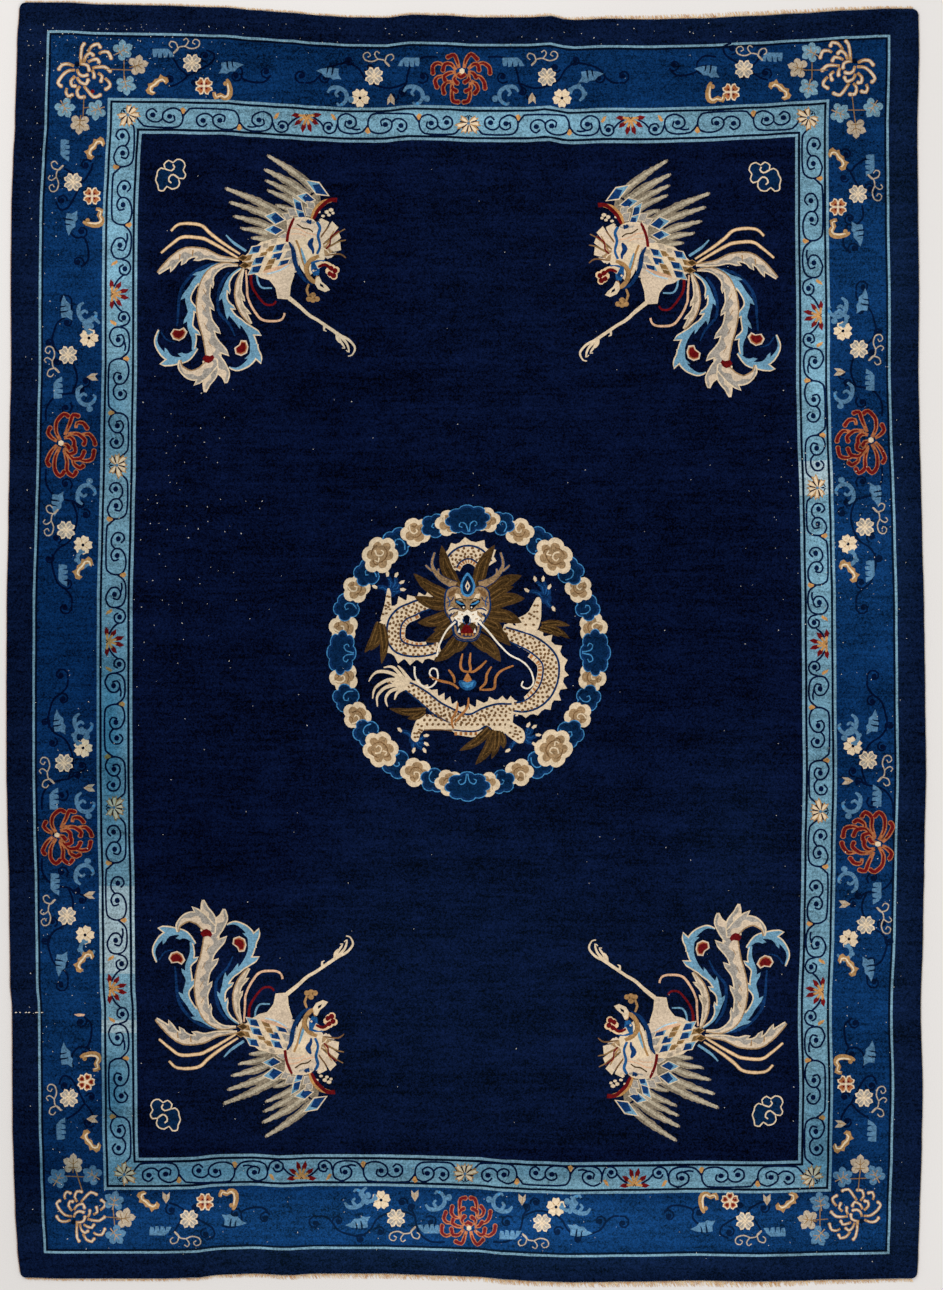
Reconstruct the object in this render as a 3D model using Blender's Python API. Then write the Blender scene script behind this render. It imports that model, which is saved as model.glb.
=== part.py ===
"""A hand-knotted wool rug of about 2.75 by 3.83 m, lying flat with its pile up.

The knotted body is one flat solid with the uneven outline of an old rug. An overcast
selvedge cord runs along each long side, and a narrow woven band with cut warp ends
finishes each short side. Units are metres, +Z is up, and +Y runs along the warps.
"""

import math

import bpy

# Driving sizes of the rug, before its edges stray
WIDTH = 2.741
LENGTH = 3.812
THICKNESS = 0.010
CORNER_RADIUS = 0.016
RIM_ROUNDING = 0.003
GAP = 0.0004

# Selvedge cord along each long side
CORD_DIAMETER = 0.004

# Woven band and cut warp ends on each short side
BAND_WIDTH = 0.004
BAND_THICKNESS = 0.0024
WARP_PITCH = 0.020
WARP_ROOT = 0.0034
WARP_TIP = 0.0016
WARP_LEAN = 0.0030

OUTLINE_STEP = 0.040
CORNER_STEPS = 5

# Where each edge strays from its straight line, as (place along the edge in metres
# from the rug's middle, stray in millimetres towards +X or +Y)
LEFT_STRAY = (
    (-1.90, 28), (-1.82, 20), (-1.70, 13), (-1.58, 9), (-1.45, 5), (-1.10, 4),
    (-1.03, -2), (-0.73, -5), (-0.55, -10), (-0.37, -13), (-0.13, -13), (0.10, -12),
    (0.35, -7), (0.60, -3), (0.82, 1), (1.07, 0), (1.30, 2), (1.43, 7), (1.55, 13),
    (1.78, 19), (1.90, 26),
)
RIGHT_STRAY = (
    (-1.90, -10), (-1.82, -7), (-1.70, -3), (-1.52, 3), (-1.34, 6), (-1.10, 0),
    (-0.86, 7), (-0.62, 11), (-0.38, 16), (-0.14, 13), (0.10, 10), (0.34, 4),
    (0.46, 1), (0.64, -4), (0.82, -7), (1.06, -5), (1.30, -8), (1.54, -10),
    (1.78, -5), (1.90, -7),
)
UPPER_STRAY = (
    (-1.36, 31), (-1.23, 31), (-1.13, 25), (-0.94, 22), (-0.75, 16), (-0.65, 7),
    (-0.56, 1), (-0.46, -8), (-0.36, -14), (-0.26, -15), (-0.18, -6), (-0.08, -8),
    (0.02, -14), (0.19, -14), (0.24, -9), (0.31, -22), (0.42, -18), (0.54, -20),
    (0.70, -17), (0.88, -9), (1.00, -2), (1.17, 8), (1.27, 12), (1.36, 12),
)
LOWER_STRAY = (
    (-1.36, 1), (-1.23, -2), (-0.94, -2), (-0.84, 0), (-0.75, 10), (-0.65, 13),
    (-0.56, 8), (-0.46, 13), (-0.27, 13), (-0.17, 10), (-0.08, 7), (0.02, 4),
    (0.12, -5), (0.21, -10), (0.31, -13), (0.50, -11), (0.69, -8), (0.88, -11),
    (1.17, -5), (1.36, -2),
)

# Length of the cut warp ends, as (place across the rug in metres, millimetres)
UPPER_WARPS = ((-1.36, 3), (-0.90, 4), (-0.30, 4), (0.20, 5), (0.80, 9), (1.36, 5))
LOWER_WARPS = ((-1.36, 4), (-0.85, 5), (-0.35, 10), (0.30, 10), (0.75, 12), (1.36, 6))

COLOURS = {
    "pile": (0.008, 0.018, 0.052, 1.0),
    "selvedge": (0.560, 0.440, 0.340, 1.0),
    "warp": (0.680, 0.560, 0.400, 1.0),
}


def between(table, place):
    """The table's second column at a place, on a smooth curve through its rows."""
    if place <= table[0][0]:
        return table[0][1]
    for (start, low), (end, high) in zip(table, table[1:]):
        if place <= end:
            share = (place - start) / (end - start)
            share = share * share * (3 - 2 * share)
            return low + (high - low) * share
    return table[-1][1]


def strayed(x, y):
    """A point of the straight-sided rug, moved as far as the woven edges stray."""
    across = min(1.0, max(0.0, x / WIDTH + 0.5))
    along = min(1.0, max(0.0, y / LENGTH + 0.5))
    left, right = between(LEFT_STRAY, y), between(RIGHT_STRAY, y)
    lower, upper = between(LOWER_STRAY, x), between(UPPER_STRAY, x)
    return (
        x + (left + (right - left) * across) / 1000,
        y + (lower + (upper - lower) * along) / 1000,
    )


def straight(start, end, step):
    """Points from start up to, but not at, end, about a step apart."""
    count = max(1, math.ceil(math.dist(start, end) / step))
    return [
        (
            start[0] + (end[0] - start[0]) * i / count,
            start[1] + (end[1] - start[1]) * i / count,
        )
        for i in range(count)
    ]


def rug_outline():
    """The body's outline, counter-clockwise, with its corners rounded."""
    half_x, half_y = WIDTH / 2 - CORNER_RADIUS, LENGTH / 2 - CORNER_RADIUS
    points = []
    for quarter, (side_x, side_y) in enumerate(((1, -1), (1, 1), (-1, 1), (-1, -1))):
        start = math.pi / 2 * (quarter - 1)
        arc = [
            (
                side_x * half_x + CORNER_RADIUS * math.cos(start + turn),
                side_y * half_y + CORNER_RADIUS * math.sin(start + turn),
            )
            for turn in (math.pi / 2 * i / CORNER_STEPS for i in range(CORNER_STEPS + 1))
        ]
        if points:
            points += straight(points.pop(), arc[0], OUTLINE_STEP)
        points += arc
    points += straight(points.pop(), points[0], OUTLINE_STEP)
    return [strayed(x, y) for x, y in points]


def middle():
    """The middle of everything that is built, so that the origin can lie under it."""
    outline = rug_outline()
    cord = GAP + CORD_DIAMETER
    lower = min(y for _, y in warp_comb(-1, LOWER_WARPS))
    upper = max(y for _, y in warp_comb(1, UPPER_WARPS))
    xs = [x for x, _ in outline]
    return (min(xs) - cord + max(xs) + cord) / 2, (lower + upper) / 2


def warp_comb(side, lengths):
    """Outline of one end band with its cut warp ends, as one flat comb."""
    reach = WIDTH / 2 - CORNER_RADIUS
    inner = LENGTH / 2 + GAP
    outer = inner + BAND_WIDTH
    count = int(2 * reach / WARP_PITCH)
    first = -WARP_PITCH * (count - 1) / 2
    back = straight((reach, inner), (-reach, inner), OUTLINE_STEP)
    points = back + [(-reach, inner), (-reach, outer)]
    for i in range(count):
        root = first + WARP_PITCH * i
        length = between(lengths, root) / 1000 * (1 + 0.22 * math.sin(2.4 * i))
        tip = root + WARP_LEAN * math.sin(1.7 * i)
        points += [
            (root - WARP_ROOT / 2, outer),
            (tip - WARP_TIP / 2, outer + length),
            (tip + WARP_TIP / 2, outer + length),
            (root + WARP_ROOT / 2, outer),
        ]
    points.append((reach, outer))
    # The lower comb is the upper one turned over, so its round runs the other way
    turned = [(x, side * y) for x, y in points][::side]
    return [strayed(x, y) for x, y in turned]


def material(name, roughness):
    made = bpy.data.materials.new(name)
    made.use_nodes = True
    shader = made.node_tree.nodes["Principled BSDF"]
    shader.inputs["Base Color"].default_value = COLOURS[name]
    shader.inputs["Roughness"].default_value = roughness
    shader.inputs["Metallic"].default_value = 0.0
    return made


def place(curve, name, finish, height, centre, collection):
    """Links a curve as a named piece, at a height, with the rug's middle at the origin."""
    made = bpy.data.objects.new(name, curve)
    curve.materials.append(finish)
    made.location = (-centre[0], -centre[1], height)
    collection.objects.link(made)
    return made


def flat_curve(name, points, thickness, rounding):
    """A closed flat outline, filled and as thick as stated, with a rounded rim."""
    curve = bpy.data.curves.new(name, "CURVE")
    curve.dimensions = "2D"
    curve.fill_mode = "BOTH"
    curve.extrude = thickness / 2 - rounding
    curve.bevel_depth = rounding
    curve.bevel_resolution = 1
    curve.offset = -rounding
    spline = curve.splines.new("POLY")
    spline.points.add(len(points) - 1)
    for point, (x, y) in zip(spline.points, points):
        point.co = (x, y, 0, 1)
    spline.use_cyclic_u = True
    return curve


def selvedge_curve(name, side):
    """The overcast cord that lies along one long side, just outside the pile."""
    curve = bpy.data.curves.new(name, "CURVE")
    curve.dimensions = "3D"
    curve.bevel_depth = CORD_DIAMETER / 2
    curve.bevel_resolution = 2
    curve.use_fill_caps = True
    x = side * (WIDTH / 2 + GAP + CORD_DIAMETER / 2)
    reach = LENGTH / 2 - CORNER_RADIUS
    line = straight((x, -reach), (x, reach), OUTLINE_STEP) + [(x, reach)]
    spline = curve.splines.new("POLY")
    spline.points.add(len(line) - 1)
    for point, (x, y) in zip(spline.points, line):
        point.co = (*strayed(x, y), 0, 1)
    return curve


def main():
    for thing in list(bpy.data.objects):
        bpy.data.objects.remove(thing)
    rug = bpy.data.collections.new("knotted_rug")
    bpy.context.scene.collection.children.link(rug)
    pile = material("pile", 0.95)
    selvedge = material("selvedge", 0.9)
    warp = material("warp", 0.9)
    centre = middle()

    body = flat_curve("rug_body", rug_outline(), THICKNESS, RIM_ROUNDING)
    place(body, "rug_body", pile, THICKNESS / 2, centre, rug)

    for name, side in (("selvedge_left", -1), ("selvedge_right", 1)):
        cord = selvedge_curve(name, side)
        place(cord, name, selvedge, CORD_DIAMETER / 2, centre, rug)

    ends = (("warp_end_lower", -1, LOWER_WARPS), ("warp_end_upper", 1, UPPER_WARPS))
    for name, side, lengths in ends:
        comb = flat_curve(name, warp_comb(side, lengths), BAND_THICKNESS, 0.0)
        place(comb, name, warp, BAND_THICKNESS / 2, centre, rug)


main()
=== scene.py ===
# %% [markdown]
# # A hand-knotted Chinese rug
#
# The real rug is one piece of cloth: cotton warps and wefts, with rows of wool knots
# between them whose cut ends stand up as the pile. The whole pattern is in the colour of
# the knots, so it has no height of its own. It could be a picture laid on a flat sheet,
# but a picture blurs when it is looked at closely and can't be edited. Here each drawn
# shape becomes real edges in the mesh of the pile, and each dye is a material.
#
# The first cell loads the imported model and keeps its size.

# %% Load the frame
import math

import bmesh
import bpy
import numpy as np
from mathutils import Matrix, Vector
from mathutils.geometry import delaunay_2d_cdt


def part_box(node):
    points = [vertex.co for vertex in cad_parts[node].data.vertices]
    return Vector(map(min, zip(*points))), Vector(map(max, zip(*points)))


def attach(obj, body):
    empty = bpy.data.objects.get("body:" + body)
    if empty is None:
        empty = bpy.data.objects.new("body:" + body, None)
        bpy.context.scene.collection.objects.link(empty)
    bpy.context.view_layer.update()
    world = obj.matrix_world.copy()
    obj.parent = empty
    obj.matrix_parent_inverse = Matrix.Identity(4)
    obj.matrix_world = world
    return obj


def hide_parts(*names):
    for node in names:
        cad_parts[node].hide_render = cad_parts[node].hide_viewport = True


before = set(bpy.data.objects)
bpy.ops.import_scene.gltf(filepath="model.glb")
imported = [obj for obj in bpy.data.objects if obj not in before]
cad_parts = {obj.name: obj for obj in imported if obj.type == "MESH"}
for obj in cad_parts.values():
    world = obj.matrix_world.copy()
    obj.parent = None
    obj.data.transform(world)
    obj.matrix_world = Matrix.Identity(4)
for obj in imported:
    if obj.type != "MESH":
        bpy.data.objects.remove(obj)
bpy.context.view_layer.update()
BODY_LOW, BODY_HIGH = (Vector(corner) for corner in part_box("rug_body"))
print("rug body", [round(side * 1000) for side in BODY_HIGH - BODY_LOW], "mm")

# %% [markdown]
# ## The cartoon
#
# A rug is knotted from a cartoon, a drawing on squared paper that hangs beside the loom.
# Columns count from the left and rows from the top. One square here is 3.01 mm, a
# little less than a knot. Everything that is drawn goes in one list, and a later shape
# covers an earlier one, as in any painting program.

# %% Squared paper
SQUARE = 0.0030135
PAPER_MIDDLE = np.array((466.3, 643.7))
cartoon = []


def on_floor(squares):
    """Places on the paper as X and Y in metres."""
    return (np.atleast_2d(squares) - PAPER_MIDDLE) * (SQUARE, -SQUARE)


def smooth(points, closed=False, step=2.4):
    """Points about a step apart, on a smooth curve through the given ones."""
    given = np.array(points, float)
    last = len(given) if closed else len(given) - 1
    found = []
    for i in range(last):
        if closed:
            a, b, c, d = (given[(i + k) % len(given)] for k in (-1, 0, 1, 2))
        else:
            a, b = given[max(i - 1, 0)], given[i]
            c, d = given[i + 1], given[min(i + 2, last)]
        count = max(1, round(math.dist(b, c) / step))
        for t in np.arange(count) / count:
            found.append(
                0.5 * (2 * b + (c - a) * t + (2 * a - 5 * b + 4 * c - d) * t * t
                       + (3 * b - a - 3 * c + d) * t ** 3)
            )
    if not closed:
        found.append(given[-1])
    return np.array(found)


def spiral(x, y, radius, start, turns, end=1.6, sides=8):
    """Points of a spiral that winds in from a radius, in degrees and turns."""
    count = max(3, round(abs(turns) * sides))
    share = np.arange(count + 1) / count
    angle = math.radians(start) + share * turns * 2 * math.pi
    reach = radius + (end - radius) * share
    return [(x + r * math.cos(a), y + r * math.sin(a)) for r, a in zip(reach, angle)]


# %% [markdown]
# ## A pen that can be turned and mirrored
#
# The same flower or leaf comes back in many places, turned and mirrored. So each is
# drawn around its own middle with a pen, and the pen knows where on the paper that
# middle is, which way "along" points, and which way "across" points.

# %% Points as text
def pts(text):
    """The points of a path that is written as "x,y x,y x,y"."""
    return [tuple(float(number) for number in pair.split(",")) for pair in text.split()]


def paths(text):
    """Several such paths, with a semicolon between them."""
    return [pts(part) for part in text.split(";")]


# %% Pen
class Pen:
    """Draws on the cartoon from its own middle, with its own two directions."""

    def __init__(self, at=(0, 0), along=(1, 0), across=(0, 1), size=1.0):
        self.at = np.array(at, float)
        self.along = np.array(along, float) * size
        self.across = np.array(across, float) * size

    def place(self, points):
        if isinstance(points, str):
            points = pts(points)
        local = np.atleast_2d(np.array(points, float))
        return self.at + local[:, :1] * self.along + local[:, 1:] * self.across

    def moved(self, x, y, turn=0.0, size=1.0):
        """Another pen at a place of this one, turned by degrees."""
        cos, sin = math.cos(math.radians(turn)), math.sin(math.radians(turn))
        along = self.along * cos + self.across * sin
        across = self.across * cos - self.along * sin
        return Pen(self.place((x, y))[0], along, across, size)

    def fill(self, dye, points, curved=False):
        placed = self.place(points)
        cartoon.append((dye, smooth(placed, closed=True) if curved else placed))

    def stroke(self, dye, points, width, curved=True, closed=False):
        """A band along a path; width is one number, or several spread along it."""
        line = self.place(points)
        if curved:
            line = smooth(line, closed)
        widths = np.atleast_1d(np.array(width, float)) * math.hypot(*self.along)
        place = np.linspace(0, len(widths) - 1, len(line))
        half = np.interp(place, np.arange(len(widths)), widths)[:, None] / 2
        if closed:
            ahead, behind = np.roll(line, -1, axis=0), np.roll(line, 1, axis=0)
        else:
            ahead = np.vstack((line[1:], 2 * line[-1:] - line[-2:-1]))
            behind = np.vstack((2 * line[:1] - line[1:2], line[:-1]))
        slope = ahead - behind
        length = np.maximum(np.hypot(slope[:, 0], slope[:, 1]), 1e-6)
        normal = np.stack((-slope[:, 1], slope[:, 0]), axis=1) / length[:, None]
        left, right = line + normal * half, line - normal * half
        if closed:
            # A closed band is laid as two halves, so that each is a plain outline
            middle = len(line) // 2
            for part in (range(middle + 1), range(middle, len(line) + 1)):
                picks = [k % len(line) for k in part]
                cartoon.append((dye, np.vstack((left[picks], right[picks][::-1]))))
        else:
            cartoon.append((dye, np.vstack((left, right[::-1]))))

    def dot(self, dye, x, y, radius, tall=None, sides=8, turn=0.0):
        tall = radius if tall is None else tall
        cos, sin = math.cos(math.radians(turn)), math.sin(math.radians(turn))
        corners = [
            (radius * math.cos(a), tall * math.sin(a))
            for a in (2 * math.pi * (k + 0.5) / sides for k in range(sides))
        ]
        self.fill(dye, [(x + u * cos - v * sin, y + u * sin + v * cos) for u, v in corners])

    def lobed(self, dye, wide, tall, lobes, depth=0.16, turn=0.0, inset=0.0, x=0, y=0):
        """A blob with rounded lobes, as on a cloud."""
        count = lobes * 6
        points = []
        for k in range(count):
            a = 2 * math.pi * k / count
            lobe = 1 - depth + depth * abs(math.sin(lobes * a / 2)) ** 0.7
            b = a + math.radians(turn)
            points.append((x + (wide * lobe - inset) * math.cos(b),
                           y + (tall * lobe - inset) * math.sin(b)))
        self.fill(dye, points)


# %% [markdown]
# ## The edges and the bands
#
# No old rug is square. The tables say how many millimetres each edge strays from
# straight, place by place, and they are the ones that the solid model was made from.
# The bands of the border follow the edges, because the knotter counted them from there.

# %% Edges that stray
WIDTH, LENGTH, CORNER_RADIUS = 2.741, 3.812, 0.016

# Place along the edge in metres from the middle, and stray in millimetres
LEFT_STRAY = pts("-1.9,28 -1.82,20 -1.7,13 -1.58,9 -1.45,5 -1.1,4 -1.03,-2 -0.73,-5 -0.55,-10 "
    "-0.37,-13 -0.13,-13 0.1,-12 0.35,-7 0.6,-3 0.82,1 1.07,0 1.3,2 1.43,7 1.55,13 1.78,19 1.9,26")
RIGHT_STRAY = pts("-1.9,-10 -1.82,-7 -1.7,-3 -1.52,3 -1.34,6 -1.1,0 -0.86,7 -0.62,11 -0.38,16 "
    "-0.14,13 0.1,10 0.34,4 0.46,1 0.64,-4 0.82,-7 1.06,-5 1.3,-8 1.54,-10 1.78,-5 1.9,-7")
UPPER_STRAY = pts("-1.36,31 -1.23,31 -1.13,25 -0.94,22 -0.75,16 -0.65,7 -0.56,1 -0.46,-8 -0.36,-14 "
    "-0.26,-15 -0.18,-6 -0.08,-8 0.02,-14 0.19,-14 0.24,-9 0.31,-22 0.42,-18 0.54,-20 0.7,-17 0.88,-9 "
    "1,-2 1.17,8 1.27,12 1.36,12")
LOWER_STRAY = pts("-1.36,1 -1.23,-2 -0.94,-2 -0.84,0 -0.75,10 -0.65,13 -0.56,8 -0.46,13 -0.27,13 "
    "-0.17,10 -0.08,7 0.02,4 0.12,-5 0.21,-10 0.31,-13 0.5,-11 0.69,-8 0.88,-11 1.17,-5 1.36,-2")

# The lines of the border bow out a little further than the edges beside them
LEFT_LINES = pts("-1.59,-2 -1.22,-4 -0.62,-5 0.13,-5 0.58,0 1.19,3 1.61,8")
RIGHT_LINES = pts("-1.59,-2 -1.22,0 -0.77,4 -0.32,5 0.28,7 0.88,1 1.19,-2 1.61,-2")


def between(table, place):
    """The table's second column at a place, on a smooth curve through its rows."""
    if place <= table[0][0]:
        return table[0][1]
    for (start, low), (end, high) in zip(table, table[1:]):
        if place <= end:
            share = (place - start) / (end - start)
            share = share * share * (3 - 2 * share)
            return low + (high - low) * share
    return table[-1][1]


def strayed(x, y):
    """A point of the straight-sided rug, in metres, moved as its edges stray."""
    across = min(1, max(0, x / WIDTH + 0.5))
    along = min(1, max(0, y / LENGTH + 0.5))
    left, right = between(LEFT_STRAY, y), between(RIGHT_STRAY, y)
    inside = min(1, min(across, 1 - across) / 0.03)
    left += inside * between(LEFT_LINES, y)
    right += inside * between(RIGHT_LINES, y)
    lower, upper = between(LOWER_STRAY, x), between(UPPER_STRAY, x)
    return (x + (left + (right - left) * across) / 1000, y + (lower + (upper - lower) * along) / 1000)


def ring(left, right, upper, upper_right, lower, radius=0, step=0.036, shift=(0, 0)):
    """A closed outline this many squares inside the edges, in metres."""
    west, east = -WIDTH / 2 + left * SQUARE, WIDTH / 2 - right * SQUARE
    south, north = -LENGTH / 2 + lower * SQUARE, LENGTH / 2 - upper * SQUARE
    corners = ((east, south, -90), (east, north, 0), (west, north, 90), (west, south, 180))
    points = []
    for x, y, start in corners:
        middle_x = x - math.copysign(radius, x)
        middle_y = y - math.copysign(radius, y)
        for k in range(6 if radius else 1):
            a = math.radians(start + 18 * k)
            points.append((middle_x + radius * math.cos(a), middle_y + radius * math.sin(a)))
    filled = []
    for a, b in zip(points, points[1:] + points[:1]):
        count = max(1, math.ceil(math.dist(a, b) / step - 1e-6))
        filled += [(a[0] + (b[0] - a[0]) * k / count,
            a[1] + (b[1] - a[1]) * k / count) for k in range(count)]
    fall = (upper_right - upper) * SQUARE
    tilted = [(x, y - fall * max(0, y / north) * (x / WIDTH + 0.5)) for x, y in filled]
    moved = [strayed(x, y) for x, y in tilted]
    return [(x + shift[0], y + shift[1]) for x, y in moved]


# The solid model has the middle of its box at the origin
raw = np.array(ring(0, 0, 0, 0, 0, CORNER_RADIUS))
MIDDLE_SHIFT = tuple((np.array((BODY_LOW + BODY_HIGH)[:2]) - raw.min(0) - raw.max(0)) / 2)
print("middle shift", [round(value * 1000, 1) for value in MIDDLE_SHIFT], "mm")


def on_paper(metres):
    """X and Y in metres as a place on the squared paper."""
    return np.array(metres) / (SQUARE, -SQUARE) + PAPER_MIDDLE


# %% Bands of the border
# Squares from each edge of the knotting to the middle of each light line
LINE_PLACES = {
    # line: left, right, upper at its left end and at its right end, lower
    "outer": (28.2, 29.4, 28.8, 26.8, 25.9),
    "middle": (91.7, 90.4, 94.4, 88.2, 89.4),
    "inner": (124.2, 121.4, 126.8, 120.8, 118.6),
}
# Line, squares further in, and the dye that starts there
BANDS = (("outer", -1.15, "sky"), ("outer", 1.15, "dark"), ("outer", 3.4, "indigo"),
    ("middle", -1.25, "sky"), ("middle", 1.25, "dark"), ("middle", 3.6, "sky_ground"),
    ("inner", -3.7, "dark"), ("inner", -1.3, "sky"), ("inner", 1.4, "midnight_field"))
outline_metres = ring(0, 0, 0, 0, 0, CORNER_RADIUS, shift=MIDDLE_SHIFT)
cartoon.append(("midnight_edge", on_paper(outline_metres)))
for line, further, dye in BANDS:
    insets = [place + further for place in LINE_PLACES[line]]
    cartoon.append((dye, on_paper(ring(*insets, shift=MIDDLE_SHIFT))))
print(len(cartoon), "bands on the cartoon")


def point_on_line(side, place, insets):
    """The point of a line at a row or a column of the paper; its insets are as in a ring."""
    left, right, upper, upper_right, lower = [inset * SQUARE for inset in insets]
    x = (place - PAPER_MIDDLE[0]) * SQUARE - MIDDLE_SHIFT[0]
    y = (PAPER_MIDDLE[1] - place) * SQUARE - MIDDLE_SHIFT[1]
    if side == "left":
        x = left - WIDTH / 2
    elif side == "right":
        x = WIDTH / 2 - right
    elif side == "upper":
        y = LENGTH / 2 - upper - (upper_right - upper) * (x / WIDTH + 0.5)
    else:
        y = lower - LENGTH / 2
    return tuple(on_paper(np.array(strayed(x, y)) + MIDDLE_SHIFT))


def middle_of_band(side, place):
    """The point halfway across the narrow band, at a row or a column of the paper."""
    lines = zip(LINE_PLACES["middle"], LINE_PLACES["inner"])
    return point_on_line(side, place, [(a + b) / 2 for a, b in lines])


# %% Batches of yarn
# Where one batch of blue ran out and the next was paler, the change runs straight along
# a row: side, first row and last row
PALER_BATCHES = (("left", 888, 975), ("left", 1021, 1034), ("right", 460, 494))
# The stripes that it shows in, each from one place across the band to another
STRIPES = ((("middle", -1.05), ("middle", 1.05)), (("middle", 3.8), ("inner", -3.9)),
    (("inner", -1.1), ("inner", 1.2)))
for side, first, last in PALER_BATCHES:
    for stripe in STRIPES:
        edges = []
        for line, further in stripe:
            insets = [place + further for place in LINE_PLACES[line]]
            edges.append([point_on_line(side, row, insets) for row in np.linspace(first, last, 9)])
        cartoon.append(("sky_pale", edges[0] + edges[1][::-1]))
print(len(PALER_BATCHES), "batches of paler blue")

# %% [markdown]
# ## Flowers and leaves
#
# The border repeats a small family of flowers, leaves and curls. Each is a function
# of a few points around its own middle. "Along" runs outwards from the large flower
# that the spray grows from, and "across" runs towards the field.

# %% Small flowers
def petal_flower(pen, petals, reach, dyes, turn=0, notch=1.4, centre="tan"):
    """A flower of blunt notched petals, each dye a smaller petal on the last."""
    half = 4.7 if petals == 4 else 4
    petal = ((0.6, 0), (3.4, -0.78 * half), (6.6, -half), (9.2, -0.66 * half), (9.2 - notch, 0),
        (9.2, 0.66 * half), (6.6, half), (3.4, 0.78 * half))
    for k in range(petals):
        leaf = pen.moved(0, 0, turn + 360 / petals * k, reach / 9.2)
        for step, dye in enumerate(dyes):
            shrink = (1, 0.70, 0.44)[step]
            middle = 5
            leaf.fill(dye, [(middle + (x - middle) * shrink, y * shrink) for x, y in petal])
    pen.dot(centre, 0, 0, 1.7)


def grey_flower(pen):
    petal_flower(pen, 4, 9.6, ("ivory", "grey"), turn=45, centre="ivory")
    for k in range(4):
        pen.moved(0, 0, 45 + 90 * k).stroke("ivory", "0,0 6.5,0", 0.8, curved=False)


def ivory_flower(pen):
    petal_flower(pen, 5, 9.4, ("ivory",), turn=18, notch=0.8, centre="dark")
    for k in range(5):
        edge = pen.moved(0, 0, 54 + 72 * k)
        edge.stroke("tan", "2.4,0 5.6,0", 0.7, curved=False)


def red_flower(pen):
    petal_flower(pen, 4, 9.2, ("ivory", "rust"), turn=45, centre="ivory")
    for k in range(4):
        leaf = pen.moved(0, 0, 45 + 90 * k)
        leaf.fill("red", "1.4,0 3.4,-1.7 4.8,0 3.4,1.7")


def red_ivory_flower(pen):
    petal_flower(pen, 5, 9, ("ivory", "rust", "red"), turn=18, notch=0.8, centre="ivory")


# %% Leaves, curls and tendrils
def comb_leaf(pen):
    """Half a leaf, flat on its outer side, with deep slits towards the field."""
    pen.fill("sky_leaf","-10.4,-4.2 4.6,-4.6 8.2,-1.4 11.6,4 6.6,4.2 5.4,-0.6 4,4.2 0.8,4.8 -0.2,-1.2 "
        "-1.6,4.4 -4.6,5 -5.4,-1 -6.6,3.8 -9.4,4.2 -10.6,1")


def wing_leaf(pen):
    """Half a leaf with a straight outer edge, cut by slits, that runs out to a point."""
    pen.fill("sky_leaf","-12.4,5.4 -9.2,0.2 -9.8,-5.2 -2,-6.6 6.4,-5.6 12.8,-3.2 7,-0.4 3.8,3.2 "
        "-1.2,3.4 -4,5.8 -8.2,5")
    for x, deep in ((-3.6, 3.4), (1.6, 1.6)):
        pen.stroke("vine", ((x - 0.6, -7.4), (x, -2.6), (x + 0.8, deep - 2)), (1.9, 1.6, 0.9))


def cloud_curl(pen):
    """A curling leaf like a scrap of cloud: a bow with a hook inside it, and a blob."""
    pen.stroke("sky_leaf","12.4,-3.4 8.4,-8 1.4,-8.2 -5,-4.6 -6.8,1.8 -3.4,7.6 1.6,9.4 3.2,7",
        (2, 3.8, 4.1, 4.1, 3.9, 3.5, 2.2))
    pen.stroke("sky_leaf", "0.6,-7.2 4.4,-2.2 1.8,0.8", (3, 3.2, 1.8))
    pen.dot("sky_leaf", -11, 3.6, 3, 3.4)
    pen.dot("azure", -1.4, 8.8, 1.4)


def hook_leaf(pen):
    """A small bow around a dark heart, with lobes on its outer edge."""
    path = pts("-6.4,-1 -4.6,-6.6 1.2,-8.4 6.2,-4.6 6.4,1.8 2.4,5.6")
    pen.stroke("sky_leaf", path, (2.4, 4, 3.8, 4.2, 3.8, 2.2))
    for x, y in pts("-6.6,-5.4 2,-9.8 8.2,-1.4"):
        pen.dot("sky_leaf", x, y, 2.2)


def tan_hook(pen):
    """A tan hook with a pale line inside it, as on the head of a sceptre."""
    pen.fill("tan","-11.6,6.2 -8.6,3 -9.2,-0.2 -4.8,-1.2 -2.2,-5 1.2,-5.6 3.6,-10 6.2,-7.4 10.6,-6.6 "
        "11.8,-2.4 8.8,0.6 6.6,-2.4 2.8,-1.8 0.8,2 -3.4,3.2 -4.4,7 -1,9 -4.6,11.2 -9.4,9.6")
    pen.stroke("ivory","-2.4,8.4 -6.2,7.4 -6.4,3.2 -2.2,0.4 1.6,-3.2 5.2,-4.6 8,-2.2", (1.2, 1.6, 1.6,
        1.8, 1.8, 1.8, 1.1))


def tan_crook(pen):
    pen.stroke("tan", "-8,3 -6.6,8.4 -1.6,6 1.8,8.8 6.6,7.8 8,2 6.6,-6 4.6,-10", (2.8, 4.8, 4.6, 5.4, 5.6,
        5.4, 4.6, 2.2))
    pen.stroke("ivory", "-7,4.4 -5.4,8 -0.6,6.6 2.6,8.4 5.8,6.2 6.6,1 5.4,-6", (0.9, 1.3, 1.4, 1.7, 1.8,
        1.7, 1))
    pen.dot("tan", 3.4, -5.4, 2.4)


def bud(pen):
    pen.fill("grey_tan", "0,-6.4 3.4,-1.2 3.8,5 0.8,1.8 -3.4,5.2 -3.4,-1")
    pen.stroke("tan", "0,-5 0.3,1.4", 0.8, curved=False)


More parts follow.
